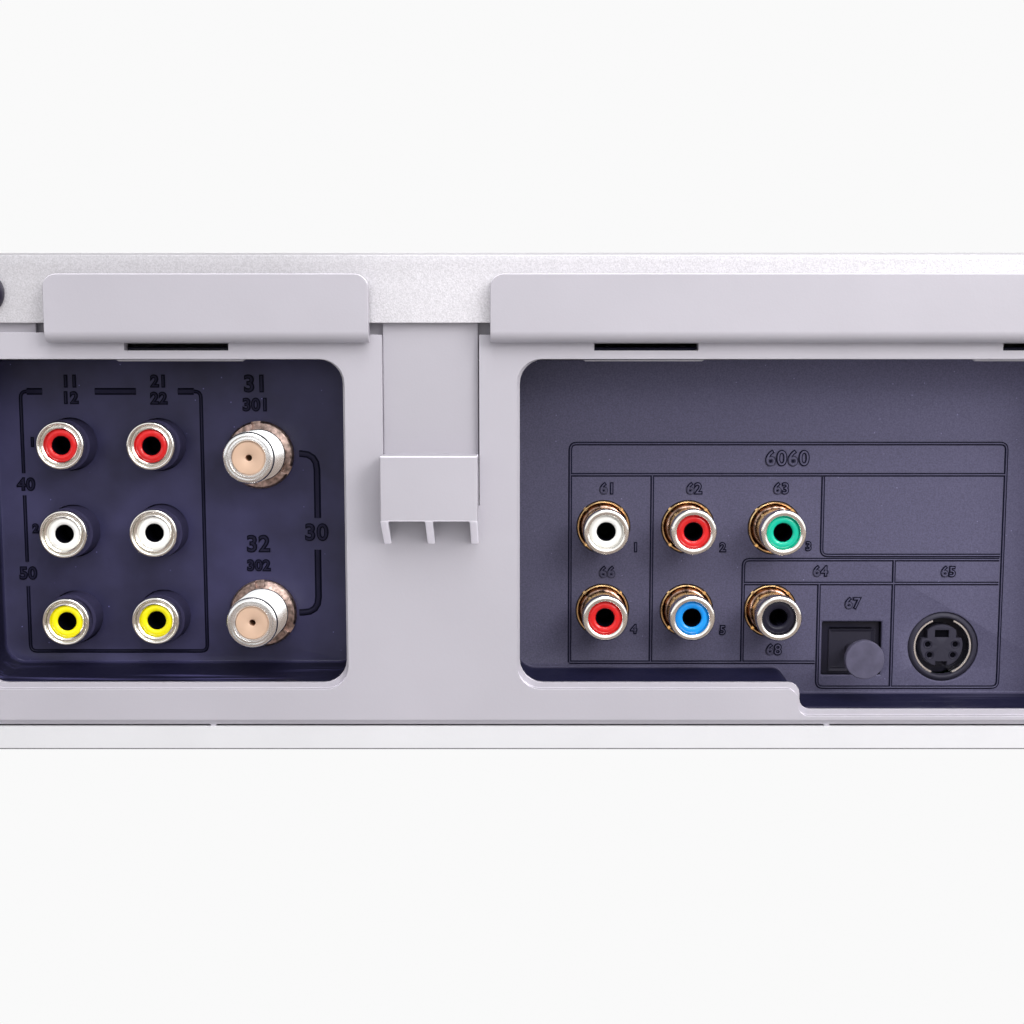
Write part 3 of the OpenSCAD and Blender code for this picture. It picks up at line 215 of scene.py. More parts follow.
def chain(name, points, closed=False):
    """An edge chain through points in millimetres, drawn by extruding one corner."""
    deselect()
    bpy.ops.mesh.primitive_plane_add(size=MM, location=(0, 0, 0))
    piece = named(name)
    edit(piece)
    bpy.ops.mesh.merge(type="CENTER")
    bpy.ops.transform.translate(value=Vector(points[0]) * MM)
    ring = list(points) + ([points[0]] if closed else [])
    for a, b in zip(ring, ring[1:]):
        step = (Vector(b) - Vector(a)) * MM
        bpy.ops.mesh.extrude_vertices_move(TRANSFORM_OT_translate={"value": step})
    bpy.ops.mesh.select_all(action="SELECT")
    if closed:
        bpy.ops.mesh.remove_doubles(threshold=MERGE)
    return piece


def outward(piece):
    """Turns all faces outwards and leaves edit mode."""
    bpy.ops.mesh.select_all(action="SELECT")
    bpy.ops.mesh.normals_make_consistent(inside=False)
    close()
    return piece


def prism(name, outline, start, depth, axis="Y"):
    """An outline given across an axis, extruded along it. Outlines are (x, z), (y, z) or (x, y)."""
    spread = {"Y": lambda a, b: (a, start, b), "X": lambda a, b: (start, a, b),
              "Z": lambda a, b: (a, b, start)}[axis]
    piece = chain(name, [spread(*p) for p in outline], closed=True)
    bpy.ops.mesh.edge_face_add()
    way = {"Y": (0, depth, 0), "X": (depth, 0, 0), "Z": (0, 0, depth)}[axis]
    bpy.ops.mesh.extrude_region_move(TRANSFORM_OT_translate={"value": Vector(way) * MM})
    return outward(piece)


def turned(name, profile, place=(0, 0, 0), axis="Y", steps=48):
    """A closed profile of (radius, distance) turned about an axis through place."""
    turn = Vector({"X": (1, 0, 0), "Y": (0, 1, 0), "Z": (0, 0, 1)}[axis])
    side = Vector({"X": (0, 1, 0), "Y": (1, 0, 0), "Z": (1, 0, 0)}[axis])
    place = Vector(place)
    piece = chain(name, [place + side * r + turn * d for r, d in profile], closed=True)
    bpy.ops.mesh.spin(steps=steps, angle=TAU, center=place * MM, axis=turn)
    bpy.ops.mesh.select_all(action="SELECT")
    bpy.ops.mesh.remove_doubles(threshold=MERGE)
    return outward(piece)


def arc(x, z, r, first, last, parts=6):
    """Points of an arc, with angles in degrees."""
    steps = [math.radians(first + (last - first) * i / parts) for i in range(parts + 1)]
    return [(x + r * math.cos(a), z + r * math.sin(a)) for a in steps]


def rounded(x, z, r, parts=6):
    """Outline of a rectangle with round corners."""
    return (
        arc(x[1] - r, z[0] + r, r, -90, 0, parts)
        + arc(x[1] - r, z[1] - r, r, 0, 90, parts)
        + arc(x[0] + r, z[1] - r, r, 90, 180, parts)
        + arc(x[0] + r, z[0] + r, r, 180, 270, parts)
    )


def rectangle(x, z):
    return [(x[0], z[0]), (x[1], z[0]), (x[1], z[1]), (x[0], z[1])]


def about(middle, size):
    """Two ends at equal distances from a middle."""
    return middle - size / 2, middle + size / 2


def block(name, x, y, z):
    """A cube stretched between two corners, to be shaped further."""
    deselect()
    middle = Vector([(a + b) / 2 for a, b in (x, y, z)]) * MM
    bpy.ops.mesh.primitive_cube_add(size=1, location=middle)
    piece = named(name)
    piece.scale = Vector([b - a for a, b in (x, y, z)]) * MM
    bpy.ops.object.transform_apply(location=True, rotation=True, scale=True)
    return piece


def apply(piece, kind, **values):
    """Adds a modifier and applies it."""
    only(piece)
    modifier = piece.modifiers.new(kind.lower(), kind)
    for key, value in values.items():
        setattr(modifier, key, value)
    bpy.ops.object.modifier_apply(modifier=modifier.name)


def discard(*pieces):
    for piece in pieces:
        bpy.data.objects.remove(piece)


def cut(piece, *tools, operation="DIFFERENCE"):
    """Takes the tools out of a piece, or adds them to it."""
    for tool in tools:
        apply(piece, "BOOLEAN", operation=operation, object=tool, solver="EXACT")
        discard(tool)


def smooth(piece, angle=40):
    """Smooth shading that keeps flat faces flat."""
    only(piece)
    bpy.ops.object.shade_smooth_by_angle(angle=math.radians(angle))
    apply(piece, "WEIGHTED_NORMAL", keep_sharp=True)


def soften(piece, width, segments=2, angle=30):
    """Rounds sharp edges by a width in millimetres."""
    apply(piece, "BEVEL", width=width * MM, segments=segments, limit_method="ANGLE",
          angle_limit=math.radians(angle), use_clamp_overlap=True)
    smooth(piece)
    return piece


def copy_of(piece, name, step=(0, 0, 0), turn=None):
    """A copy with its own mesh, turned about the origin and then moved by a step in millimetres."""
    twin = bpy.data.objects.new(name, piece.data.copy())
    twin.data.name = name
    bpy.context.scene.collection.objects.link(twin)
    if turn:
        twin.data.transform(turn)
    twin.data.transform(Matrix.Translation(Vector(step) * MM))
    return twin


def join(name, pieces):
    """Joins pieces into the first one."""
    deselect()
    for piece in pieces:
        piece.select_set(True)
    bpy.context.view_layer.objects.active = pieces[0]
    if len(pieces) > 1:
        bpy.ops.object.join()
    return named(name)


def recut(node, name, width, segments=2, angle=30):
    """A merged copy of a CAD node with its sharp edges rounded."""
    piece = copy_of(NODES[node], name)
    edit(piece)
    bpy.ops.mesh.remove_doubles(threshold=MERGE)
    bpy.ops.mesh.dissolve_limited(angle_limit=math.radians(0.6))
    close()
    return soften(piece, width, segments, angle)


def lettering(name, text, turn, where, **style):
    """Text as a mesh, turned and centred on a place in metres."""
    deselect()
    bpy.ops.object.text_add(location=(0, 0, 0))
    letters = bpy.context.object.data
    letters.body = text
    letters.align_x = letters.align_y = "CENTER"
    for key, value in style.items():
        setattr(letters, key, value)
    bpy.ops.object.convert(target="MESH")
    label = named(name)
    label.rotation_euler = turn
    label.location = where
    bpy.ops.object.transform_apply(location=True, rotation=True, scale=True)
    return label


def pick(piece, kind, test):
    """Opens a piece with the edges or faces selected that pass a test of their place and way."""
    edit(piece, kind)
    bpy.ops.mesh.select_all(action="DESELECT")
    close()
    mesh = piece.data
    if kind == "FACE":
        for face in mesh.polygons:
            face.select = test(face.center / MM, face.normal)
    else:
        for line in mesh.edges:
            a, b = (mesh.vertices[i].co / MM for i in line.vertices)
            line.select = test((a + b) / 2, (b - a).normalized())
    bpy.ops.object.mode_set(mode="EDIT")


def round_off(r, parts):
    """Rounds the picked edges by a radius in millimetres and leaves edit mode."""
    bpy.ops.mesh.bevel(offset=r * MM, segments=parts, affect="EDGES")
    close()


def shift(*step):
    """Moves what is picked by a step in millimetres and leaves edit mode."""
    bpy.ops.transform.translate(value=[v * MM for v in step])
    close()


def place(piece, finish, slot=None, body="case", nodes=()):
    """Paints a finished piece and hangs it on its body; the slot is not used."""
    piece.data.materials.clear()
    piece.data.materials.append(paint(finish))
    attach(piece, body)
    slot or finish
    if nodes:
        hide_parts(*nodes)
    return piece


def refine(node, name, finish, width, segments=2, slot=None, body="case"):
    """A finished piece in a node's place, with its sharp edges rounded."""
    place(recut(node, name, width, segments), finish, slot, body, [node])


# ---------- finishes ----------

FINISHES = {}


class Finish:
    """A material with its shader, built once and kept by name."""

    def __init__(self, name, base, roughness, metallic=0.0, **sockets):
        self.material = bpy.data.materials.new(name)
        self.material.use_nodes = True
        self.tree = self.material.node_tree
        self.shader = self.tree.nodes["Principled BSDF"]
        self.base = (*base, 1)
        self.shader.inputs["Base Color"].default_value = self.base
        self.shader.inputs["Roughness"].default_value = roughness
        self.shader.inputs["Metallic"].default_value = metallic
        for key, value in sockets.items():
            self.shader.inputs[key.replace("_", " ")].default_value = value
        self.material.diffuse_color = self.base
        self.coordinates = self.add("ShaderNodeTexCoord").outputs["Object"]
        self.bump = None
        FINISHES[name] = self

    def add(self, kind, **values):
        node = self.tree.nodes.new(kind)
        for key, value in values.items():
            if key in node.inputs:
                node.inputs[key].default_value = value
            else:
                setattr(node, key, value)
        return node

    def link(self, out, to):
        self.tree.links.new(out, to)

    def noise(self, scale, detail=3.0, stretch=None):
        """Noise of so many spots to the metre, drawn out along an axis where stretch is given."""
        node = self.add("ShaderNodeTexNoise", Scale=scale, Detail=detail)
        place_in = self.coordinates
        if stretch:
            mapping = self.add("ShaderNodeMapping", Scale=stretch)
            self.link(self.coordinates, mapping.inputs["Vector"])
            place_in = mapping.outputs["Vector"]
        self.link(place_in, node.inputs["Vector"])
        return node.outputs["Fac"]

    def cells(self, scale):
        node = self.add("ShaderNodeTexVoronoi", Scale=scale)
        self.link(self.coordinates, node.inputs["Vector"])
        return node

    def spread(self, value, low, high):
        """Maps 0..1 to low..high."""
        node = self.add("ShaderNodeMapRange")
        node.inputs["To Min"].default_value = low
        node.inputs["To Max"].default_value = high
        self.link(value, node.inputs["Value"])
        return node.outputs["Result"]

    def tint(self, value, low, high):
        """Multiplies the base colour by low..high, as the value goes from 0.3 to 0.7."""
        ramp = self.add("ShaderNodeValToRGB")
        ramp.color_ramp.elements[0].position = 0.3
        ramp.color_ramp.elements[1].position = 0.7
        ramp.color_ramp.elements[0].color = (*[c * low for c in self.base[:3]], 1)
        ramp.color_ramp.elements[1].color = (*[min(c * high, 1) for c in self.base[:3]], 1)
        self.link(value, ramp.inputs["Fac"])
        self.link(ramp.outputs["Color"], self.shader.inputs["Base Color"])

    def part(self, vector, axis):
        """One part of a vector."""
        parts = self.add("ShaderNodeSeparateXYZ")
        self.link(vector, parts.inputs[0])
        return parts.outputs[axis]

    def along(self, axis):
        """The place along an axis, in metres."""
        return self.part(self.coordinates, axis)

    def upwards(self):
        """How far a face looks upwards, from -1 to 1."""
        return self.part(self.add("ShaderNodeTexCoord").outputs["Normal"], "Z")

    def product(self, a, b):
        both = self.add("ShaderNodeMath", operation="MULTIPLY")
        self.link(a, both.inputs[0])
        self.link(b, both.inputs[1])
        return both.outputs[0]

    def fade(self, mask, low, high):
        """Multiplies the colour by low..high as a mask goes from 0 to 1."""
        old = self.shader.inputs["Base Color"].links[0].from_socket
        node = self.add("ShaderNodeVectorMath", operation="SCALE")
        self.link(old, node.inputs[0])
        self.link(self.spread(mask, low, high), node.inputs["Scale"])
        self.link(node.outputs[0], self.shader.inputs["Base Color"])

    def lighter(self, mask, factor, tone=None):
        """Changes the base colour by a factor, or to a tone, where a mask of 0..1 says so."""
        old = self.shader.inputs["Base Color"].links[0].from_socket
        mix = self.add("ShaderNodeMix", data_type="RGBA")
        self.link(mask, mix.inputs["Factor"])
        self.link(old, mix.inputs[6])
        mix.inputs[7].default_value = (*(tone or [min(c * factor, 1) for c in self.base[:3]]), 1)
        self.link(mix.outputs[2], self.shader.inputs["Base Color"])

    def ramp(self, value, start, end):
        """A mask that goes from 0 to 1 between start and end."""
        node = self.add("ShaderNodeMapRange", **{"From Min": start, "From Max": end})
        self.link(value, node.inputs["Value"])
        return node.outputs["Result"]

    def specks(self, scale, size, factor):
        """Small light dots in cells of so many to the metre."""
        self.lighter(self.ramp(self.cells(scale).outputs["Distance"], size, size * 0.5), factor)

    def painted_well_shade(self, tone):
        """Gives a well's walls and floor a darker tone, as painted shade inside the well."""
        self.lighter(self.ramp(self.along("Y"), (PLATE_Y + 0.4) * MM, (PLATE_Y + 1.2) * MM),
                     1, tone)

    def deep(self, factor, start=1.0, end=-0.5):
        """Changes the colour behind a plate's face, between two distances from it: painted shade
        down in holes and recesses.
        """
        self.lighter(self.ramp(self.along("Y"), (PLATE_Y + start) * MM, (PLATE_Y + end) * MM),
                     factor)

    def painted_highlight_on_upper_edges(self, factor):
        """Changes the colour on rounded edges that face upwards: a painted highlight where the
        light from above catches them.
        """
        band = self.add("ShaderNodeValToRGB")
        stops = band.color_ramp.elements
        stops[0].position, stops[1].position = 0.15, 0.97
        stops[0].color = stops[1].color = (0, 0, 0, 1)
        for place_at in (0.5, 0.85):
            stops.new(place_at).color = (1, 1, 1, 1)
        self.link(self.upwards(), band.inputs["Fac"])
        self.lighter(band.outputs["Color"], factor)

    def painted_highlight_on_lower_edges(self, factor):
        """Changes the colour on rounded edges and faces that look downwards: a painted highlight
        where they catch light from below.
        """
        self.lighter(self.ramp(self.upwards(), -0.12, -0.45), factor)

    def painted_shade_duller_top(self, factor, metallic, specular):
        """Paints shade on faces that look upwards by changing their colour by a factor, and changes
        their metallic and specular.
        """
        top = self.ramp(self.upwards(), 0.3, 0.98)
        self.lighter(top, factor)
        self.link(self.spread(top, *metallic), self.shader.inputs["Metallic"])
        self.link(self.spread(top, *specular), self.shader.inputs["Specular IOR Level"])

    def scuffs_and_sheen(self, low, high, factor):
        """Light streaks along the width, between two heights: partly scuff marks, partly painted
        sheen.
        """
        streak = self.ramp(self.noise(900, 4, stretch=(0.03, 1, 1)), 0.56, 0.72)
        self.lighter(self.product(streak, self.ramp(self.along("Z"), high, low)), factor)

    def rough(self, value, low, high):
        self.link(self.spread(value, low, high), self.shader.inputs["Roughness"])

    def relief(self, value, height, strength=1.0):
        """Adds a bump of a height in millimetres."""
        node = self.add("ShaderNodeBump", Strength=strength, Distance=height * MM)
        self.link(value, node.inputs["Height"])
        if self.bump:
            self.link(self.bump, node.inputs["Normal"])
        self.bump = node.outputs["Normal"]
        self.link(self.bump, self.shader.inputs["Normal"])


def coated(name, base, roughness, metallic=0.0, tint=None, reliefs=(), gloss=None, **sockets):
    """A finish with uneven colour, bumps and gloss, each from noise of its own scale and detail."""
    f = Finish(name, base, roughness, metallic, **sockets)
    if tint:
        scale, detail, low, high = tint
        f.tint(f.noise(scale, detail), low, high)
    for scale, detail, *height in reliefs:
        f.relief(f.noise(scale, detail), *height)
    if gloss:
        scale, detail, low, high = gloss
        f.rough(f.noise(scale, detail), low, high)
    return f


def panel_paint(name="panel_paint", shade=1.0, underside_highlight=None):
    """Satin paint on moulded plastic, with the fine peel of sprayed lacquer, a painted highlight on
    rounded edges that face upwards, a painted highlight on downward faces where asked, and darker
    copies by shade as painted shade.
    """
    f = coated(name, [c * shade for c in settings("player_finish").panel], 0.42,
               tint=(38, 2, 0.965, 1.03), reliefs=((2600, 2, 0.012), (420, 2, 0.018)),
               gloss=(900, 3, 0.36, 0.5))
    # Painted highlight on the rounded edges that face upwards
    f.painted_highlight_on_upper_edges(1.9)
    # Where asked, a painted highlight on edges and faces that look downwards
    if underside_highlight:
        f.painted_highlight_on_lower_edges(underside_highlight)


def cover_paint():
    """Light metallic lacquer with a fine grain, duller on top, with painted shade that darkens the
    top and the rear flange above the left hood.
    """
    f = coated("cover_paint", settings("player_finish").cover, 0.4, 0.38,
               tint=(4300, 1, 0.86, 1.1), reliefs=((3900, 1, 0.035, 0.8),),
               gloss=(700, 3, 0.3, 0.48))
    # Painted shade on the top: a darker colour, with lower metallic and specular
    f.painted_shade_duller_top(0.7, metallic=(0.38, 0.08), specular=(0.5, 0.2))
    # Painted shade: the rear flange grows darker towards its end above the left hood
    left = f.ramp(f.along("X"), 0.016, 0.042)
    behind = f.ramp(f.along("Y"), (REAR_Y - 3) * MM, (REAR_Y - 1) * MM)
    f.fade(f.product(left, behind), 1, 0.82)


def pan_steel():
    """Light paint, darker on the rounded lower edge."""
    f = coated("pan_steel", settings("player_finish").pan, 0.45, 0.1,
               tint=(60, 3, 0.97, 1.02), reliefs=((1800, 2, 0.01),))
    f.lighter(f.ramp(f.along("Z"), (PAN_Z + 0.26) * MM, (PAN_Z + 0.16) * MM), 0.2)


def well_plastic_dark():
    """Smooth blue-black plastic with specks of dust, light streaks of handling scuff marks and
    painted sheen low on the floor, and painted shade on the walls and floor.
    """
    f = coated("well_plastic_dark", settings("player_finish").tape_well, 0.34,
               tint=(70, 4, 0.7, 1.5), reliefs=((1500, 3, 0.012),), gloss=(240, 5, 0.26, 0.5),
               Specular_IOR_Level=0.26)
    f.specks(330, 0.045, 5)
    # Painted shade on the well's walls and floor
    f.painted_well_shade((0.0075, 0.007, 0.021))
    # Light streaks low on the floor: scuff marks and painted sheen
    f.scuffs_and_sheen(0.0208, 0.0245, 2.6)


def well_plastic_grey():
    """Dark grey plastic with an eroded grain and specks of dust, with painted light: lighter
    towards one end and towards the top; painted shade on the walls and floor and down in the holes;
    light streaks of scuff marks and painted sheen low on the floor.
    """
    f = coated("well_plastic_grey", settings("player_finish").disc_well, 0.5,
               tint=(3600, 2, 0.84, 1.2), reliefs=((2300, 2, 0.035),), gloss=(300, 4, 0.42, 0.62),
               Specular_IOR_Level=0.22)
    f.specks(420, 0.06, 2.2)
    # Painted light: the plate grows lighter towards the low-x end, where the key light falls
    f.fade(f.ramp(f.along("X"), -0.004, -0.095), 0.76, 1.16)
    # Painted light: the plate grows lighter towards its top
    f.fade(f.ramp(f.along("Z"), 0.065, 0.0755), 1, 1.35)
    # Painted shade on the well's walls and floor
    f.painted_well_shade((0.007, 0.0068, 0.028))
    # Painted shade down in the holes and the port behind the plate's face
    f.deep(0.12, -0.2, -0.5)
    # Light streaks low on the floor: scuff marks and painted sheen
    f.scuffs_and_sheen(0.0155, 0.0185, 0.9)


def optical_plastic():
    """Grained plastic of the optical port's cap, darker down in the port as painted shade."""
    f = coated("optical_cap", (0.088, 0.082, 0.128), 0.5, tint=(500, 3, 0.85, 1.15),
               reliefs=((1500, 2, 0.02),), Specular_IOR_Level=0.12)
    # Painted shade: darker down in the port
    f.deep(0.3)


def plated(name, base, roughness):
    """Bright plating with faint turning marks and wear."""
    coated(name, base, roughness, 1.0, tint=(260, 3, 0.93, 1.04), reliefs=((900, 2, 0.002),),
           gloss=(600, 3, roughness * 0.6, roughness * 1.6))


def moulded(name, base, roughness=0.45, grain=0.012, specular=0.5):
    """Plain moulded plastic with a fine grain."""
    coated(name, base, roughness, tint=(120, 3, 0.85, 1.12), reliefs=((1700, 2, grain),),
           gloss=(400, 3, roughness * 0.8, min(roughness * 1.25, 1)), Specular_IOR_Level=specular)


def brushed(name, base, roughness=0.34):
    """Sheet metal with rolling marks along the width."""
    f = coated(name, base, roughness, 1.0, tint=(90, 3, 0.88, 1.06))
    f.relief(f.noise(900, 3, stretch=(0.04, 1, 1)), 0.006)
    f.rough(f.noise(700, 3, stretch=(0.05, 1, 1)), roughness * 0.75, roughness * 1.3)


def board_green():
    """Solder mask with darker tracks."""
    f = Finish("board_green", (0.02, 0.12, 0.05), 0.35)
    brick = f.add("ShaderNodeTexBrick", Scale=90)
    f.link(f.coordinates, brick.inputs["Vector"])
    f.tint(brick.outputs["Fac"], 0.7, 1.35)
    f.relief(brick.outputs["Fac"], 0.03)


# Name, colour and roughness, then grain and specular where they aren't the usual ones
MOULDED = (
    ("black_plastic", (0.010, 0.009, 0.021), 0.4, 0.012, 0.25),
    # Near-black for the insides of holes and slots: painted shade
    ("hole_shade_black", (0.001, 0.001, 0.003), 0.6, 0.012, 0.05),
    ("foot_plastic", (0.02, 0.02, 0.022), 0.6, 0.03),
    ("tray_plastic", (0.03, 0.03, 0.033), 0.4),
    ("gear_plastic", (0.72, 0.7, 0.6), 0.4),
    ("tan_plastic", (0.62, 0.42, 0.3), 0.4, 0.008),
    ("display_glass", (0.008, 0.014, 0.014), 0.12),
    ("roller_rubber", (0.012, 0.012, 0.012), 0.7, 0.02),
    ("screw_black", (0.02, 0.017, 0.035), 0.28, 0.012, 0.4),
    ("tape_mark_top", (0.015, 0.014, 0.036), 0.45, 0.012, 0.12),
    # Dark finishes for the sloped edges of raised marks: painted shade
    ("tape_mark_painted_shade", (0.004, 0.004, 0.013), 0.5, 0.012, 0.05),
    ("disc_mark_painted_shade", (0.006, 0.006, 0.018), 0.5, 0.012, 0.08),
    ("tape_collar", (0.034, 0.031, 0.068), 0.5, 0.012, 0.03),
    ("socket_plastic", (0.034, 0.032, 0.05), 0.5, 0.02, 0.2),
)
PLATED = (
    ("connector_nickel", (0.97, 0.98, 0.97), 0.2),
    ("brass_pins", (0.78, 0.6, 0.3), 0.25),
    ("diecast", (0.42, 0.42, 0.43), 0.5),
    ("drum_aluminium", (0.8, 0.8, 0.82), 0.14),
    ("shaft_steel", (0.7, 0.7, 0.72), 0.16),
)


def make_finishes():
    colours = settings("player_finish")
    for make in (cover_paint, pan_steel, well_plastic_dark, well_plastic_grey, board_green,
                 optical_plastic, panel_paint):
        make()
    # A darker copy of the panel paint: painted shade for the recessed tongue and the tabs behind
    # the cover's flange
    panel_paint("panel_paint_in_shade", 0.92)
    # The spacer's paint carries a painted highlight on its edges and faces that look downwards
    panel_paint("spacer_paint", underside_highlight=2.1)
    for row in (("nickel", colours.nickel, 0.15), ("gold_plate", colours.gold, 0.13), *PLATED):
        plated(*row)
    for row in MOULDED:
        moulded(*row)
    for name in ("red", "white", "yellow", "green", "blue"):
        moulded(f"{name}_plastic", getattr(colours, name), 0.14, 0.004)
    brushed("tin_plate", (0.6, 0.61, 0.62))
    brushed("button_metal", (0.6, 0.6, 0.62), 0.28)
    coated("front_paint", (0.52, 0.51, 0.54), 0.32, 0.5, tint=(4200, 1, 0.9, 1.1),
           reliefs=((3000, 2, 0.006),), gloss=(500, 3, 0.27, 0.4))
    # Dull brown worn plating with streaks; its bright spots are painted glints
    coated("worn_nickel_and_glints", (0.34, 0.25, 0.22), 0.3, 1.0, tint=(1300, 4, 0.45, 1.9),
           reliefs=((1600, 3, 0.04),), gloss=(900, 3, 0.22, 0.5))
    # Gold plating of the washers, painted dark with bright streaks: a painted dark reflection with
    # painted glints
    coated("gold_painted_reflection", (0.2, 0.13, 0.1), 0.22, 1.0, tint=(900, 3, 0.3, 3.0),
           reliefs=((1200, 2, 0.03),))
    # Windings and sleeves: yellow tape in places, dark sleeves elsewhere
    coated("component_mix", (0.42, 0.3, 0.06), 0.5, tint=(45, 1, 0.25, 1.2),
           reliefs=((900, 2, 0.02),))
    coated("window_tint", (0.3, 0.32, 0.33), 0.03, gloss=(200, 3, 0.01, 0.04),
           Transmission_Weight=1.0, IOR=1.49)
    coated("display_glow", (0.05, 0.5, 0.45), 0.4, gloss=(800, 2, 0.35, 0.5),
           Emission_Strength=5, Emission_Color=(0.1, 0.85, 0.7, 1))


def paint(name):
    return FINISHES[name].material


def dress(node, finish):
    """Gives a CAD node that stays a procedural finish."""
    mesh = NODES[node].data
    mesh.materials.clear()
    mesh.materials.append(paint(finish))


# ---------- rear panel ----------

SHEET_X = (-213.7, 213.7)
PANEL_T = 2.2
PAN_DROP = 0.5
PANEL_Z = (PAN_Z + 5 - PAN_DROP, TOP_Z - 13.5)
TAPE_X = (31.4, 98)
DISC_X = (-104, 0.2)
OPEN_Z = (PAN_Z + 11.9, PANEL_Z[1] - 4.9)
STEP_X = -50.9
STEP_DROP = 5
OPEN_R = 4.3
STEP_R = 2
HOODS = ((26.4, 82.9), (-109, 5.2))
HOOD_Z = (PANEL_Z[1] - 2.2, TOP_Z - 3.9)
HOOD_OUT = 2.8
HOOD_T = 1.8
HOOD_EDGE = 0.65
SLOTS_X = (60.7, -22.3, -94.5)
SLOT = (18.4, 1.3)
SLOT_Z = PANEL_Z[1] - 2.9
TONGUE_X = (7.4, 24.4)
TONGUE_Y = REAR_Y - 1.3
SPACER_Z = (PAN_Z + 42.4, PAN_Z + 53.85)
SPACER_Y = REAR_Y + 6
SPACER_WALL = 1.4
SPACER_EDGE = 0.32
GUSSET_Z = SPACER_Z[0] - 4.7
SLIT_Z = SPACER_Z[0] + 2.2
SLIT = 0.17
NOTCHES_X = ((24.4, 27.4), (4.4, 7.4))
NOTCH_Z = PANEL_Z[1] - 0.8
END_STRIP_X = (81, 220)
END_STRIP_Z = NOTCH_Z + 0.4
BUMPS = ((49.4, 71.4), (-32.4, -11.6), (-98.5, -81))
BUMP = 0.35
LEDGE_GROW = 0.32
LEDGE_DROP = 0.45
NUBS_X = (56, -56)
INLET_X = -168
INLET_Z = PAN_Z + 20
INLET = (23, 13)
NUB = ((0, 0), (0.55, 0), (0.62, 0.4), (0.55, 0.8), (0, 0.8))
SLANT = 1.4
RIM_SCREWS_X = (94.3, 203, -130, -203)
LUG_W = 12
STRIPS_X = ((-20, 4), (27.6, 81), (85.8, 104))
BACKS_X = ((2, 8), (23.8, 29), (79, 88))
TAB_EDGE = 0.2


def sill(x, z):
    """Points of the low rises along an opening's top edge, from high x to low x."""
    return [p for a, b in BUMPS if x[0] < a and b < x[1]
            for p in ((b + 0.5, z), (b, z - BUMP), (a, z - BUMP), (a - 0.5, z))]


def tape_outline(grow=0, corner=OPEN_R, rises=False):
    """Outline of the cassette jack opening."""
    x = (TAPE_X[0] - grow, TAPE_X[1] + grow)
    z = (OPEN_Z[0] - grow, OPEN_Z[1] + grow)
    path = rounded(x, z, corner)
    half = len(path) // 2
    return path[:half] + (sill(x, z[1]) if rises else []) + path[half:]


def disc_outline(grow=0, corner=OPEN_R, rises=False):
    """Outline of the disc jack opening, whose far part reaches lower."""
    x0, x1 = DISC_X[0] - grow, DISC_X[1] + grow
    z0, z1 = OPEN_Z[0] - grow, OPEN_Z[1] + grow
    xs, low, r = STEP_X + grow, OPEN_Z[0] - STEP_DROP - grow, STEP_R
    return (
        arc(x1 - corner, z0 + corner, corner, -90, 0)
        + arc(x1 - corner, z1 - corner, corner, 0, 90)
        + (sill((x0, x1), z1) if rises else [])
        + arc(x0 + corner, z1 - corner, corner, 90, 180)
        + arc(x0 + r, low + r, r, 180, 270, 4)
        + arc(xs - r, low + r, r, -90, 0, 4)
        + arc(xs + r, z0 - r, r, 180, 90, 4)
    )


def opening(outline, wider):
    """Tools for an opening and for the step along its lower edge."""
    start = REAR_Y - PANEL_T - 1
    ledge = REAR_Y - in_mm("player_panel", "ledge")
    return [prism("tool", outline, start, REAR_Y + 1 - start),
            prism("tool", [(x, z - LEDGE_DROP) for x, z in wider], ledge, 2)]


def panel_sheet():
    """The sheet with its openings, slots, notches and slanted lower edge."""
    sheet = prism("panel_sheet", rectangle(SHEET_X, PANEL_Z), REAR_Y - PANEL_T, PANEL_T)
    deep = (REAR_Y - PANEL_T - 1, PANEL_T + 2)
    holes = [(about(x, SLOT[0]), about(SLOT_Z, SLOT[1])) for x in SLOTS_X]
    holes += [((TONGUE_X[0] - SLIT, TONGUE_X[1] + 0.02), (SLIT_Z, TOP_Z)),
              (about(INLET_X, INLET[0]), about(INLET_Z, INLET[1]))]
    holes += [(x, (NOTCH_Z, TOP_Z)) for x in NOTCHES_X] + [(END_STRIP_X, (END_STRIP_Z, TOP_Z))]
    cut(sheet, *[tool for outline in (tape_outline, disc_outline)
                 for tool in opening(outline(-0.15, rises=True), outline(LEDGE_GROW))],
        *[prism("tool", rectangle(*hole), *deep) for hole in holes])
    skirt = in_mm("player_panel", "skirt")
    low = PANEL_Z[0]
    wedge = prism("tool", [(REAR_Y + 1, low - 1), (REAR_Y + 1, low + skirt + SLANT),
                           (REAR_Y - SLANT, low - 1)], SHEET_X[0] - 1, 450, axis="X")
    cut(sheet, wedge)
    soften(sheet, in_mm("player_panel", "opening_edge"), segments=3)
    nubs = [turned("nub", NUB, (x, REAR_Y - 1.5, low + 0.1), steps=16) for x in NUBS_X]
    return join("panel_sheet", [sheet, *nubs])


def hood(x):
    """A plate with round upper corners and a soft foot, on a web."""
    corner = in_mm("player_panel", "hood_corner")
    outline = ([(x[0], HOOD_Z[0]), (x[1], HOOD_Z[0])]
               + arc(x[1] - corner, HOOD_Z[1] - corner, corner, 0, 90)
               + arc(x[0] + corner, HOOD_Z[1] - corner, corner, 90, 180))
    plate = prism("hood", outline, REAR_Y + HOOD_OUT - HOOD_T, HOOD_T)
    web = prism("web", rectangle((x[0] + 0.4, x[1] - 0.4), (HOOD_Z[0] + 0.3, PANEL_Z[1])),
                REAR_Y - 1, HOOD_OUT - 0.4)
    cut(plate, web, operation="UNION")
    face = REAR_Y + HOOD_OUT
    pick(plate, "EDGE",
         lambda c, way: abs(way.x) > 0.9 and c.z < HOOD_Z[0] + 0.1 and c.y > face - 0.1)
    round_off(in_mm("player_panel", "hood_foot"), 6)
    return soften(plate, HOOD_EDGE, segments=4)


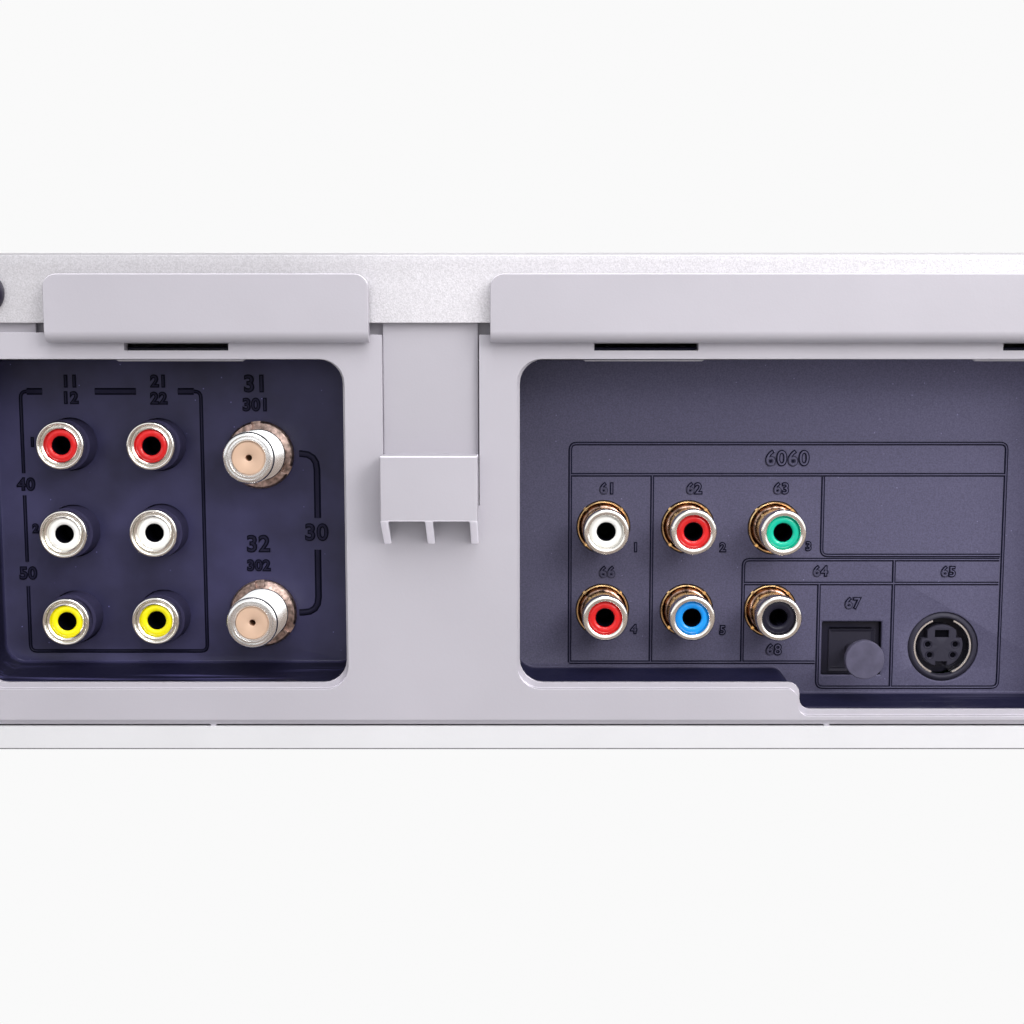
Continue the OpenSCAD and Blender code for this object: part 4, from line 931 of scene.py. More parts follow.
def spacer():
    """Hollow block that keeps the case off a wall, with three gusset ribs, on its tongue."""
    back, face, low, high = TONGUE_Y - 1, SPACER_Y, SPACER_Z[0], SPACER_Z[1]
    side = [(back, high), (face, high), (face, low), (REAR_Y, GUSSET_Z), (REAR_Y - 1, GUSSET_Z),
            (REAR_Y - 1, SLIT_Z), (back, SLIT_Z)]
    body = prism("spacer", side, TONGUE_X[0], TONGUE_X[1] - TONGUE_X[0], axis="X")
    room = [(back - 1, GUSSET_Z - 1), (face + 1, GUSSET_Z - 1), (face + 1, low),
            (face - SPACER_WALL, low), (face - SPACER_WALL, high - SPACER_WALL),
            (back - 1, high - SPACER_WALL)]
    middle = sum(TONGUE_X) / 2
    wide = middle - SPACER_WALL * 1.5 - TONGUE_X[0]
    cut(body, *[prism("tool", room, x, wide, axis="X")
                for x in (TONGUE_X[0] + SPACER_WALL, middle + SPACER_WALL / 2)])
    return soften(body, SPACER_EDGE, segments=3)


def tongue():
    plate = prism("tongue", rectangle(TONGUE_X, (SLIT_Z - 2, PANEL_Z[1] + 4)),
                  TONGUE_Y - PANEL_T, PANEL_T)
    return soften(plate, 0.25)


def panel_tabs():
    """Strips and screw lugs behind the cover's flange, and walls behind the notches."""
    low, high = PANEL_Z[1] - 1.4, PANEL_Z[1] + 4
    strip, back = (REAR_Y - PANEL_T, TONGUE_Y), (REAR_Y - 3.6, REAR_Y - 2.6)
    lug = (REAR_Y - PANEL_T + 0.2, TONGUE_Y - 0.1)
    tabs = [(x, strip, high) for x in STRIPS_X]
    tabs += [(about(x, LUG_W), lug, TOP_Z - 3) for x in RIM_SCREWS_X]
    tabs += [(x, back, high) for x in BACKS_X]
    blocks = [block("tab", x, y, (low, top)) for x, y, top in tabs]
    return soften(join("tabs", blocks), TAB_EDGE)


class PLAYER_OT_rear_panel(bpy.types.Operator):
    """Moulded rear panel with its hoods, slots, tongue and wall spacer."""

    bl_idname = "player.rear_panel"
    bl_label = "Rear panel"

    def execute(self, context):
        hoods = join("panel_hoods", [hood(x) for x in HOODS])
        place(panel_sheet(), "panel_paint", nodes=["rear_panel"])
        place(hoods, "panel_paint")
        # The tongue and the tabs take the darker copy of the panel paint, as painted shade
        for piece, name, finish in ((spacer(), "wall_spacer", "spacer_paint"),
                                    (tongue(), "panel_tongue", "panel_paint_in_shade"),
                                    (panel_tabs(), "panel_tabs", "panel_paint_in_shade")):
            piece.name = name
            place(piece, finish, "panel_paint")
        return {"FINISHED"}


# ---------- jack wells ----------

LIP = 0.5
WELL_WALL = 1.5
MOUTH_Y = REAR_Y - PANEL_T
OPTICAL = (-63.6, PAN_Z + 15.8)
VIDEO = (-81.2, PAN_Z + 16.1)
VIDEO_R = 6.72
GRIP = (-63.9, PAN_Z + 15.4)
PORT = (11.4, 10.4)
HOLE_DEPTH = 6
HOLES_Y = PLATE_Y - HOLE_DEPTH / 2
MOUTH_EDGE = 0.3


def well_cavity(x, stepped):
    """The room inside a well, with round corners and a floor that rises to the plate."""
    z = (OPEN_Z[0] - LIP, OPEN_Z[1] + LIP)
    room = block("tool", (x[0] - LIP, x[1] + LIP), (PLATE_Y, REAR_Y), z)
    rise = in_mm("player_panel", "disc_floor_rise" if stepped else "tape_floor_rise")
    step, low = STEP_X + LIP, z[0] + rise
    if stepped:
        edit(room)
        bpy.ops.mesh.bisect(plane_co=Vector((step, 0, 0)) * MM, plane_no=(1, 0, 0))
        close()
        pick(room, "FACE", lambda c, n: n.z < -0.9 and c.x < STEP_X)
        bpy.ops.mesh.extrude_region_move(
            TRANSFORM_OT_translate={"value": (0, 0, -STEP_DROP * MM)})
        close()
    pick(room, "EDGE", lambda c, way: abs(way.x) > 0.9 and c.y < PLATE_Y + 0.1 and c.z < low)
    shift(0, 0, rise)
    for corner, parts, near in ((in_mm("player_panel", "well_corner"), 8, False),
                                (STEP_R, 5, True)):
        pick(room, "EDGE", lambda c, way: abs(way.y) > 0.9 and near == (
            stepped and c.x < step + 0.1 and c.z < low) and (near or abs(c.x - step) > 0.1))
        round_off(corner, parts)
    edit(room)
    return outward(room)


def well_shell(name, x, stepped):
    """A well: a block behind the panel with its cavity taken out."""
    grow = LIP + WELL_WALL
    outline = disc_outline(grow) if stepped else tape_outline(grow)
    shell = prism(name, outline, PLATE_BACK, MOUTH_Y - PLATE_BACK)
    cut(shell, well_cavity(x, stepped))
    return shell


def drill(x, z, r):
    """Tool for a round hole through a jack plate."""
    return turned("tool", [(0, 0), (r, 0), (r, HOLE_DEPTH), (0, HOLE_DEPTH)], (x, HOLES_Y, z))


def ridge(points, width, height):
    """A flattened round ridge of a width along points (x, z) of a jack plate."""
    line = chain("ridge", [(x, 0, z) for x, z in points])
    close()
    bpy.ops.object.convert(target="CURVE")
    line = bpy.context.object
    line.data.bevel_depth = width / 2 * MM
    line.data.bevel_resolution = 2
    line.data.use_fill_caps = True
    bpy.ops.object.convert(target="MESH")
    line = bpy.context.object
    line.data.transform(Matrix.Scale(height / (width / 2), 4, Vector((0, 1, 0))))
    line.data.transform(Matrix.Translation(Vector((0, PLATE_Y, 0)) * MM))
    edit(line)
    return outward(line)


def number(text, x, z, tall, spread, height):
    """A plain number around (x, z) on a jack plate, its strokes spread outwards."""
    return lettering("number", text, (math.pi / 2, 0, math.pi),
                     Vector((x, PLATE_Y + height / 2 - MARK_ROUND, z)) * MM,
                     size=tall * LETTER_SIZE * MM, offset=spread * MM, extrude=height / 2 * MM,
                     space_character=LETTER_PITCH, bevel_depth=MARK_ROUND * MM,
                     bevel_resolution=0)


def corner_path(points, r=1.2):
    """A path whose inner corners are rounded by r."""
    path = [Vector(points[0])]
    for a, b, c in zip(points, points[1:], points[2:]):
        a, b, c = Vector(a), Vector(b), Vector(c)
        start, end = b + (a - b).normalized() * r, b + (c - b).normalized() * r
        for i in range(5):
            t = i / 4
            path.append(start.lerp(b, t).lerp(b.lerp(end, t), t))
    return [tuple(p) for p in path + [Vector(points[-1])]]


FRAME_LINE, BAR_LINE = 0.72, 1.3
EDGE_RISE, TOP_RISE = 0.16, 0.24
MARK_ROUND = 0.05
LETTER_SIZE = 1.38
LETTER_PITCH = 1.08
LETTER_SPREAD = 0.15
TAPE_LINES = [
    [(93.9, 58.8), (93.9, 74.2), (89.8, 74.2)],
    [(93.9, 54.6), (93.9, 41.9)],
    [(93.9, 37.2), (93.9, 24.6), (60, 24.6), (60, 74.2), (64.3, 74.2)],
]
TAPE_BARS = [
    [(92.7, 74.2), (89.8, 74.2)], [(79.9, 74.2), (72.2, 74.2)], [(64.3, 74.2), (61.3, 74.2)],
    [(41.7, 62.5), (38.4, 62.5), (38.4, 50.3)], [(38.5, 44.2), (38.5, 32.1), (42.2, 32.1)],
]
TAPE_NUMBERS = [("11", 84.5, 76, 0.8), ("12", 84.6, 72.9, 0.8), ("21", 67.8, 76, 0.8),
                ("22", 67.9, 72.8, 0.8), ("31", 49.7, 75.5, 1.15), ("301", 49.7, 71.6, 0.85),
                ("32", 49.8, 45.2, 1.15), ("302", 49.8, 41.1, 0.75), ("30", 38.7, 47.4, 1.15),
                ("40", 93.5, 56.6, 0.85), ("50", 93.8, 39.6, 0.85), ("1", 92.0, 64.6, 0.6),
                ("2", 92.0, 48.2, 0.6)]
DISC_LINES = [
    [(-9.5, 22.4), (-9.5, 64.4), (-91.9, 64.4), (-91.9, 17.5), (-57.1, 17.5), (-57.1, 37.7)],
    [(-9.5, 58.5), (-91.9, 58.5)],
    [(-25.05, 58.5), (-25.05, 22.4)],
    [(-57.4, 58.1), (-57.4, 43.1), (-91.4, 43.1)],
    [(-42.6, 22.4), (-42.6, 42.3), (-91.3, 42.3)],
    [(-42.6, 37.7), (-91.3, 37.7)],
    [(-71.3, 42.3), (-71.3, 17.5)],
    [(-9.5, 22.4), (-42.1, 22.4), (-56.6, 22.4)],
]
DISC_NUMBERS = [("6060", -50.5, 61.5, 1.05), ("61", -16.6, 55.8, 0.76), ("62", -33, 55.8, 0.76),
                ("63", -49.5, 55.8, 0.76), ("64", -57.3, 40, 0.72), ("65", -81.7, 39.9, 0.72),
                ("66", -16.6, 39.8, 0.76), ("67", -63.6, 33.8, 0.76), ("68", -48.7, 24.8, 0.76),
                ("1", -22, 44.6, 0.62), ("2", -38.6, 44.6, 0.62), ("3", -54.9, 44.8, 0.62),
                ("4", -21.8, 28.8, 0.62), ("5", -38.8, 28.6, 0.62)]


def plate_marks(name, lines, bars, numbers, slot, top, edge):
    """Raised lines, bars and plain numbers of a jack plate: sloped edges in a dark finish as
    painted shade, grained tops.
    """
    tall = in_mm("player_panel", "number_height")
    rim = in_mm("player_panel", "mark_edge")
    paths = [(corner_path(line), FRAME_LINE) for line in lines]
    paths += [(corner_path(bar, 3), BAR_LINE) for bar in bars]
    # The wider, lower layer is the marks' sloped edge, painted dark as shade
    for suffix, grow, rise, finish in (("edges", 0, EDGE_RISE, edge),
                                       ("tops", -rim, TOP_RISE, top)):
        marks = [ridge(path, width + 2 * grow, rise) for path, width in paths]
        marks += [number(text, x, z, tall * size, LETTER_SPREAD + grow, rise)
                  for text, x, z, size in numbers]
        place(join(f"{name}_{suffix}", marks), finish, slot)


class PLAYER_OT_jack_wells(bpy.types.Operator):
    """Both jack wells with their raised lines and plain numbers."""

    bl_idname = "player.jack_wells"
    bl_label = "Jack wells"

    def execute(self, context):
        tape = well_shell("tape_well_shell", TAPE_X, False)
        disc = well_shell("disc_well_shell", DISC_X, True)
        port = rectangle(about(OPTICAL[0], PORT[0]), about(OPTICAL[1], PORT[1]))
        cut(disc, drill(*VIDEO, VIDEO_R), prism("tool", port, HOLES_Y, HOLE_DEPTH))
        for shell, jacks, r in ((tape, TAPE_JACKS, TAPE_HOLE_R), (disc, DISC_JACKS, DISC_HOLE_R)):
            soften(shell, MOUTH_EDGE, angle=40)
            cut(shell, *[drill(x, z, r) for x, z in all_spots(jacks)])
        place(tape, "well_plastic_dark", nodes=["jack_well_tape"])
        place(disc, "well_plastic_grey", nodes=["jack_well_disc"])
        plate_marks("tape_marks", TAPE_LINES, TAPE_BARS, TAPE_NUMBERS, "well_plastic_dark",
                    "tape_mark_top", "tape_mark_painted_shade")
        plate_marks("disc_marks", DISC_LINES, [], DISC_NUMBERS, "well_plastic_grey",
                    "well_plastic_grey", "disc_mark_painted_shade")
        return {"FINISHED"}


# ---------- phono jacks ----------

TAPE_JACKS = {"red": ((84.8, PAN_Z + 55), (68.1, PAN_Z + 54.9)),
              "white": ((84.8, PAN_Z + 38.5), (68.05, PAN_Z + 38.7)),
              "yellow": ((84.9, PAN_Z + 22), (68.1, PAN_Z + 22.2))}
DISC_JACKS = {"white": ((-15.85, PAN_Z + 39.25),), "green": ((-48.4, PAN_Z + 39.1),),
              "red": ((-15.75, PAN_Z + 23.2), (-31.9, PAN_Z + 39.25)),
              "blue": ((-31.85, PAN_Z + 23.2),), "black": ((-47.9, PAN_Z + 23.15),)}
TAPE_L = PLATE_T + 5.9
DISC_L = PLATE_T + 8.5
BORE = 3.05
INSERT_R = 3.15
HOLE_R = 1.75
TAPE_R, TAPE_NECK, TAPE_HOLE_R = 4.5, 4.1, 5.02
DISC_R, DISC_NECK, DISC_HOLE_R = 4.25, 3.95, 5.15
WIDE_R = 4.4


def shell_profile(r, neck, l, rim):
    """Half section of a plated shell with a rolled rim; the wide one has a groove in its face."""
    wide = r > WIDE_R
    lip = BORE + (0.7 if wide else 0)
    middle, half, h = (lip + r) / 2, (r - lip) / 2, 0.62
    roll = [(middle - half * math.cos(a), l - h + h * math.sin(a) ** 0.7)
            for a in (math.pi * i / 10 for i in range(11))]
    inner = [(BORE, l - 0.85), (BORE + 0.08, l - 0.45), (BORE + 0.25, l - 0.32),
             (BORE + 0.38, l - 0.4), (BORE + 0.46, l - 0.8), (BORE + 0.62, l - 0.8)]
    face = inner + roll[1:] if wide else roll
    return ([(INSERT_R, 1.5), (INSERT_R, l - 1.0), (BORE, l - 0.95)] + face
            + [(r, l - rim + 0.25), (r - 0.08, l - rim), (neck, l - rim - 0.2), (neck, 1.5)])


def insert_profile(l):
    """Half section of a coloured insulator: a round swell about a hole."""
    return [(HOLE_R, 1), (HOLE_R, l - 1.0), (HOLE_R + 0.04, l - 0.86), (HOLE_R + 0.16, l - 0.74),
            (HOLE_R + 0.42, l - 0.64), (HOLE_R + 0.75, l - 0.62), (HOLE_R + 1.05, l - 0.72),
            (INSERT_R - 0.1, l - 0.98), (INSERT_R - 0.1, 1)]


def bore_profile(l):
    """Half section of the contact cup in an insert's hole, painted near-black as the shade down the
    hole.
    """
    r = HOLE_R - 0.01
    return [(0, 1.2), (r, 1.2), (r, l - 1.02), (r - 0.12, l - 1.0), (r - 0.25, l - 1.4),
            (r - 0.25, 2), (0, 2)]


def collar_profile(l, rim):
    """Half section of the body's collar behind a wide rim, with the dark gap about its foot."""
    return [(4.15, l - rim - 0.4), (4.5, l - rim - 0.4), (4.72, l - rim - 0.7), (4.8, 2.4),
            (4.8, 0.2), (4.15, 0.2)]


def ring_profile():
    """Half section of a gold base ring's round lip."""
    return [(4.5, 0.6), (4.5, 1.6), (4.56, 2.0), (4.7, 2.18), (4.9, 2.18), (5.03, 2.0),
            (5.05, 1.6), (5.05, 0.6)]


def dish_profile():
    """Half section of the dished washer inside a base ring."""
    return [(3.9, 0.7), (3.9, 2.5), (4.1, 2.42), (4.3, 1.9), (4.46, 1.7), (4.46, 0.7)]


def notched(ring, angles, x, y, z):
    """A ring with a block's shape cut out of its rim at some angles."""
    for angle in angles:
        tool = block("tool", x, y, z)
        tool.data.transform(Matrix.Rotation(math.radians(angle), 4, "Y"))
        cut(ring, tool)
    return ring


def repeated(name, model, spots, finish, nodes, slot=None):
    """Copies of a model at the origin to each spot (x, z) of a plate, joined into one piece."""
    copies = [copy_of(model, name, (x, PLATE_BACK, z)) for x, z in spots]
    piece = join(name, copies)
    smooth(piece)
    return place(piece, finish, slot, nodes=nodes)


def all_spots(jacks):
    return [spot for spots in jacks.values() for spot in spots]


class PLAYER_OT_phono_jacks(bpy.types.Operator):
    """Twelve phono jacks with plated shells, coloured inserts and bores painted near-black as
    shade.
    """

    bl_idname = "player.phono_jacks"
    bl_label = "Phono jacks"

    def execute(self, context):
        rim = in_mm("player_jacks", "rim")
        tape, disc = all_spots(TAPE_JACKS), all_spots(DISC_JACKS)
        shell = turned("model", shell_profile(TAPE_R, TAPE_NECK, TAPE_L, rim))
        repeated("tape_shells", shell, tape, "nickel", ["phono_shells_tape"])
        tall = turned("model", shell_profile(DISC_R, DISC_NECK, DISC_L, rim + 0.6))
        repeated("disc_shells", tall, disc, "nickel", ["phono_shells_disc"])
        ring = notched(turned("model", ring_profile()), (45, 135, 225, 315),
                       (4.2, 6), (0.9, 3), (-0.28, 0.28))
        repeated("base_rings", ring, disc, "gold_plate", ["phono_base_rings"])
        # The washers inside the gold rings carry a painted dark reflection with bright streaks
        dish = turned("model", dish_profile())
        repeated("base_dishes", dish, disc, "gold_painted_reflection", [], "gold_plate")
        collar = turned("model", collar_profile(TAPE_L, rim))
        repeated("tape_collars", collar, tape, "tape_collar", [], "black_plastic")
        short = turned("model", insert_profile(TAPE_L))
        long = turned("model", insert_profile(DISC_L))
        for side, model, jacks in (("tape", short, TAPE_JACKS), ("disc", long, DISC_JACKS)):
            for name, spots in jacks.items():
                nodes = [n for n in (f"phono_inserts_{name}", f"phono_insert_{name}")
                         if n in NODES and (side == "disc" or name == "yellow")]
                repeated(f"{side}_inserts_{name}", model, spots, f"{name}_plastic", nodes)
        # The contact cups are painted near-black, as painted shade down the insert holes
        for name, profile, spots in (("tape_bores", bore_profile(TAPE_L), tape),
                                     ("disc_bores", bore_profile(DISC_L), disc)):
            repeated(name, turned("model", profile), spots, "hole_shade_black", [], "black_plastic")
        discard(*[o for o in bpy.data.objects if o.name.startswith("model")])
        for node, finish in (("phono_block_tape", "tape_collar"),
                             ("phono_block_disc", "black_plastic")):
            refine(node, f"{node}_body", finish, 0.15, slot="black_plastic")
        return {"FINISHED"}


# ---------- aerial, video, optical and mains sockets ----------

AERIAL_X = 49
AERIALS_Z = (PAN_Z + 22.8, PAN_Z + 53)
AERIAL_R = 4.76
AERIAL_L = PLATE_T + 11
CORE_R = 3.06
LOCK_R = AERIAL_R + 1.6


def thread_profile():
    """Half section of a connector: thread crests up to the chamfer, then the face and its bore."""
    pitch = in_mm("player_jacks", "thread_pitch")
    root = AERIAL_R - 0.38
    first, last = PLATE_T + 0.6, AERIAL_L - 0.75
    turns = int((last - first) / pitch)
    points = [(CORE_R, 0.3), (root, 0.3)]
    for i in range(turns):
        y = last - (turns - i) * pitch
        points += [(root, y + pitch * 0.05), (AERIAL_R - 0.04, y + pitch * 0.7),
                   (AERIAL_R - 0.02, y + pitch * 0.8), (root, y + pitch * 0.97)]
    points += [(root + 0.05, last), (AERIAL_R - 0.05, AERIAL_L - 0.66),
               (AERIAL_R - 0.08, AERIAL_L - 0.4), (AERIAL_R - 0.42, AERIAL_L - 0.06),
               (AERIAL_R - 0.72, AERIAL_L - 0.03), (AERIAL_R - 0.76, AERIAL_L - 0.9),
               (AERIAL_R - 0.96, AERIAL_L - 0.9), (AERIAL_R - 1.0, AERIAL_L - 0.02),
               (CORE_R + 0.38, AERIAL_L), (CORE_R + 0.34, AERIAL_L - 0.14),
               (CORE_R + 0.2, AERIAL_L - 0.14), (CORE_R + 0.16, AERIAL_L - 0.03),
               (CORE_R, AERIAL_L - 0.22)]
    return points


def core_profile():
    """Half section of a connector's insulator with its contact hole."""
    return [(0.6, 4), (0.6, AERIAL_L - 0.6), (0.78, AERIAL_L - 0.45),
            (CORE_R - 0.3, AERIAL_L - 0.36), (CORE_R - 0.05, AERIAL_L - 0.5),
            (CORE_R - 0.05, 2.2), (0, 2.2), (0, 4)]


def lock_ring():
    """A thin nut with three notches in its rim."""
    ring = turned("model", [(AERIAL_R + 0.1, 1.95), (AERIAL_R + 0.1, 3.2), (LOCK_R - 0.35, 3.2),
                            (LOCK_R, 2.85), (LOCK_R, 1.95)])
    return notched(ring, (-85, 35, 152), (LOCK_R - 1.4, LOCK_R + 1), (2.25, 4), (-0.85, 0.85))


class PLAYER_OT_aerial_connectors(bpy.types.Operator):
    """Two threaded aerial connectors with their insulators and lock rings."""

    bl_idname = "player.aerial_connectors"
    bl_label = "Aerial connectors"

    def execute(self, context):
        spots = [(AERIAL_X, z) for z in AERIALS_Z]
        body = turned("model", thread_profile(), steps=64)
        core = turned("model", core_profile())
        repeated("aerial_bodies", body, spots, "connector_nickel", ["aerial_connectors"],
                 "nickel")
        repeated("aerial_cores", core, spots, "tan_plastic", ["aerial_insulators"])
        # The lock rings' bright spots are painted glints on worn brown plating
        ring = soften(lock_ring(), 0.12)
        repeated("lock_rings", ring, spots, "worn_nickel_and_glints", ["aerial_lock_rings"], "nickel")
        discard(body, core, ring)
        return {"FINISHED"}


VIDEO_PINS = ((2.65, 0.3), (-2.65, 0.3), (2.25, -1.8), (-2.25, -1.8))
PIN_HOLE_R, PIN_R = 0.62, 0.52
NOTCH_DEPTH = 4
CAP = (9, 8.2)
CAP_Y = (PLATE_BACK - 4, PLATE_BACK + 1.1)
CAP_RIM, CAP_DISH, CAP_EDGE = 0.5, 0.35, 0.14


def at_pins(name, profile, steps=20):
    """A turned shape at each pin of the video socket."""
    return [turned(name, profile, (VIDEO[0] + x, PLATE_BACK, VIDEO[1] + z), steps=steps)
            for x, z in VIDEO_PINS]


def video_socket():
    """Round socket: outer ring, insulator with pin holes and slot, its two metal arcs, and
    near-black plugs in the slot and holes as painted shade.
    """
    x, z = VIDEO
    centre = (x, PLATE_BACK, z)
    ring = turned("video_ring", [(5.6, 0.2), (5.6, 1.85), (5.8, 2.0), (6.1, 2.0), (6.35, 1.85),
                                 (VIDEO_R - 0.05, 1.6), (VIDEO_R - 0.05, 0.2)], centre, steps=64)
    floor = turned("video_floor", [(0, -2.5), (5.7, -2.5), (5.7, -1.5), (0, -1.5)], centre)
    core = turned("video_core", [(0, -2), (4.15, -2), (4.15, 0.9), (3.95, 1.15), (0, 1.15)], centre)
    notch = rectangle(about(x, 2.2), (z - 4.6, z - 3.0))
    slot = rectangle(about(x, 2.7), (z + 1.65, z + 3.1))
    shoulders = [rectangle(sorted((x + s * 2.75, x + s * 5)), (z + 1.5, z + 5)) for s in (-1, 1)]
    holes = at_pins("tool", [(0, 0.2), (PIN_HOLE_R, 0.2), (PIN_HOLE_R, 3), (0, 3)])
    cut(core, *holes, prism("tool", notch, PLATE_BACK - 1, NOTCH_DEPTH),
        prism("tool", slot, PLATE_BACK - 0.5, NOTCH_DEPTH),
        *[prism("tool", shoulder, PLATE_BACK - 1, NOTCH_DEPTH) for shoulder in shoulders])
    # Near-black plugs in the slot and the pin holes: painted shade down the holes
    dark = [prism("video_dark", slot, PLATE_BACK - 0.6, 1.3)]
    dark += at_pins("video_dark", [(0, 0), (PIN_R, 0), (PIN_R, 0.9), (0, 0.9)])
    eyes = at_pins("eye", [(0.5, -0.5), (0.5, 1.0), (0.62, 1.12), (0.85, 1.18), (1.0, 1.1),
                           (1.0, 0.9), (0.68, 0.9), (0.68, -0.5)], steps=24)
    arcs = turned("video_arcs", [(5.14, -1.5), (5.14, 1.5), (5.2, 1.58), (5.5, 1.58),
                                 (5.58, 1.5), (5.58, -1.5)], centre, steps=64)
    gaps = [prism("tool", [(x, z), (x - 3.6, z + s * 9), (x + 3.6, z + s * 9)],
                  PLATE_BACK - 3, 8) for s in (-1, 1)]
    cut(arcs, *gaps)
    for piece in (ring, core):
        soften(piece, 0.1)
    return ring, join("video_floor", [floor, *eyes]), core, arcs, join("video_dark", dark)


def cap():
    """Square cap of the optical port, with a rim, a stem and a round grip."""
    x, z = OPTICAL[0] - 0.35, OPTICAL[1] - 0.55
    body = block("cap", about(x, CAP[0]), CAP_Y, about(z, CAP[1]))
    pick(body, "FACE", lambda c, n: n.y > 0.9)
    bpy.ops.mesh.inset(thickness=CAP_RIM * MM)
    shift(0, -CAP_DISH, 0)
    soften(body, CAP_EDGE)
    gx, gz = GRIP
    grip = turned("grip", [(0, 0), (1.2, 0), (1.2, 8.9), (3.3, 9.0), (3.55, 9.15), (3.65, 9.4),
                           (3.65, 10.2), (3.55, 10.45), (3.35, 10.55), (0, 10.6)],
                  (gx, PLATE_BACK, gz), steps=56)
    smooth(grip)
    return join("optical_cap_body", [body, grip])


class PLAYER_OT_small_sockets(bpy.types.Operator):
    """Round video socket, optical port with its cap, and the mains inlet."""

    bl_idname = "player.small_sockets"
    bl_label = "Small sockets"

    def execute(self, context):
        ring, floor, core, arcs, dark = video_socket()
        # The plugs in the slot and pin holes are painted shade
        place(dark, "hole_shade_black", "black_plastic")
        place(floor, "black_plastic", nodes=["video_socket_insert"])
        for piece in (ring, core):
            place(piece, "socket_plastic", "black_plastic")
        place(arcs, "connector_nickel", "nickel", nodes=["video_socket_shell"])
        for node, finish, width in (("optical_socket", "black_plastic", 0.15),
                                    ("mains_inlet", "black_plastic", 0.4),
                                    ("mains_pins", "brass_pins", 0.2)):
            refine(node, f"{node}_body", finish, width)
        place(cap(), "optical_cap", "black_plastic", "optical_cap", ["optical_cap"])
        return {"FINISHED"}


# ---------- cover, pan, screws and feet ----------

SHEET_T = 1
COVER_BEND = 3
COVER_EDGE, PAN_EDGE = 0.22, 0.28
SCREW_Z = TOP_Z - 7
SIDE_SCREWS_Y = (FRONT_Y + 52, REAR_Y - 40)
SIDE_SCREW_Z = PAN_Z + 5
SIDE_X = 215
RIM_HEAD = (3.75, 2.2)
SIDE_HEAD = (3.2, 0.85)


def screw_head(r, h):
    """A pan head with a cross cut, standing on the origin along Y."""
    head = turned("model", [(0, -0.05), (r, -0.05), (r, h * 0.35), (r * 0.93, h * 0.6),
                            (r * 0.75, h * 0.85), (r * 0.45, h * 0.98), (0, h)])
    width = about(0, in_mm("player_jacks", "cross"))
    long, deep = (-r * 0.58, r * 0.58), (h * 0.35, h + 1)
    cut(head, block("tool", long, deep, width), block("tool", width, deep, long))
    return head


def tighten_bend(cover):
    """Draws the rear upper bend of the cover closer to its corner, inside and outside."""
    keep = in_mm("player_panel", "cover_bend") / COVER_BEND
    for inset in (0, SHEET_T):
        corner = (REAR_Y - inset, TOP_Z - inset)
        r = COVER_BEND - inset
        pick(cover, "EDGE", lambda c, way: abs(way.x) > 0.9 and abs(
            math.hypot(c.y - corner[0] + r, c.z - corner[1] + r) - r) < 0.15
            and c.y > corner[0] - r + 0.01 and c.z > corner[1] - r + 0.01)
        bpy.ops.transform.resize(value=(1, keep, keep),
                                 center_override=Vector((0, *corner)) * MM)
        close()


class PLAYER_OT_case(bpy.types.Operator):
    """Cover, bottom pan, screws and feet."""

    bl_idname = "player.case"
    bl_label = "Case"

    def execute(self, context):
        cover = recut("top_cover", "cover_shell", COVER_EDGE)
        tighten_bend(cover)
        place(cover, "cover_paint", nodes=["top_cover"])
        pan = recut("base_pan", "pan_shell", PAN_EDGE)
        pick(pan, "EDGE", lambda c, way: c.y > REAR_Y - 2.2 and c.z > PAN_Z + 3.9)
        shift(0, 0, -PAN_DROP)
        place(pan, "pan_steel", nodes=["base_pan"])
        refine("feet", "foot_set", "foot_plastic", 0.4)
        rear = screw_head(*RIM_HEAD)
        side = screw_head(*SIDE_HEAD)
        heads = [copy_of(rear, "head", (x, REAR_Y, SCREW_Z)) for x in RIM_SCREWS_X]
        for s in (-1, 1):
            turn = Matrix.Rotation(math.radians(-90 * s), 4, "Z")
            heads += [copy_of(side, "head", (s * SIDE_X, y, SIDE_SCREW_Z), turn)
                      for y in SIDE_SCREWS_Y]
        piece = join("screw_heads", heads)
        smooth(piece)
        place(piece, "screw_black", nodes=["cover_screws"])
        discard(rear, side)
        return {"FINISHED"}


# ---------- front ----------

DIGIT_SIZE = 12.5
SIGN_R = 1.5
SIGN_RISE = 4


def display_digits():
    """A plain time of day on the display, behind the window."""
    (x0, y, z0), (x1, _, z1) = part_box("display_module")
    return lettering("display_digits", "12:00", (math.pi / 2, 0, 0),
                     ((x0 + x1) / 2, y, (z0 + z1) / 2),
                     size=DIGIT_SIZE * MM, shear=0.12, extrude=0.1 * MM)


def button_signs():
    """Plain signs over the buttons: eject, stop, play, record, a bar for power and for open."""
    r, signs = SIGN_R, []

    def centre(node):
        low, high = edges_of(f"{node}_button")
        return (low[0] + high[0]) / 2, high[2] + SIGN_RISE

    def flat(outline):
        signs.append(prism("sign", outline, FRONT_Y - 0.12, 0.3))

    for node in ("eject", "open"):
        x, z = centre(node)
        flat([(x - r, z - 0.2), (x + r, z - 0.2), (x, z + r)])
        flat(rectangle((x - r, x + r), (z - 1.1, z - 0.7)))
    x, z = centre("stop")
    flat(rectangle((x - 1.2, x + 1.2), (z - 1.2, z + 1.2)))
    x, z = centre("play")
    flat([(x - 1.1, z - 1.4), (x + 1.5, z), (x - 1.1, z + 1.4)])
    x, z = centre("record")
    flat(arc(x, z, 1.25, 0, 345, 23))
    x, z = centre("power")
    flat(rectangle((x - 0.22, x + 0.22), (z - 0.1, z + r)))
    return join("button_signs", signs)


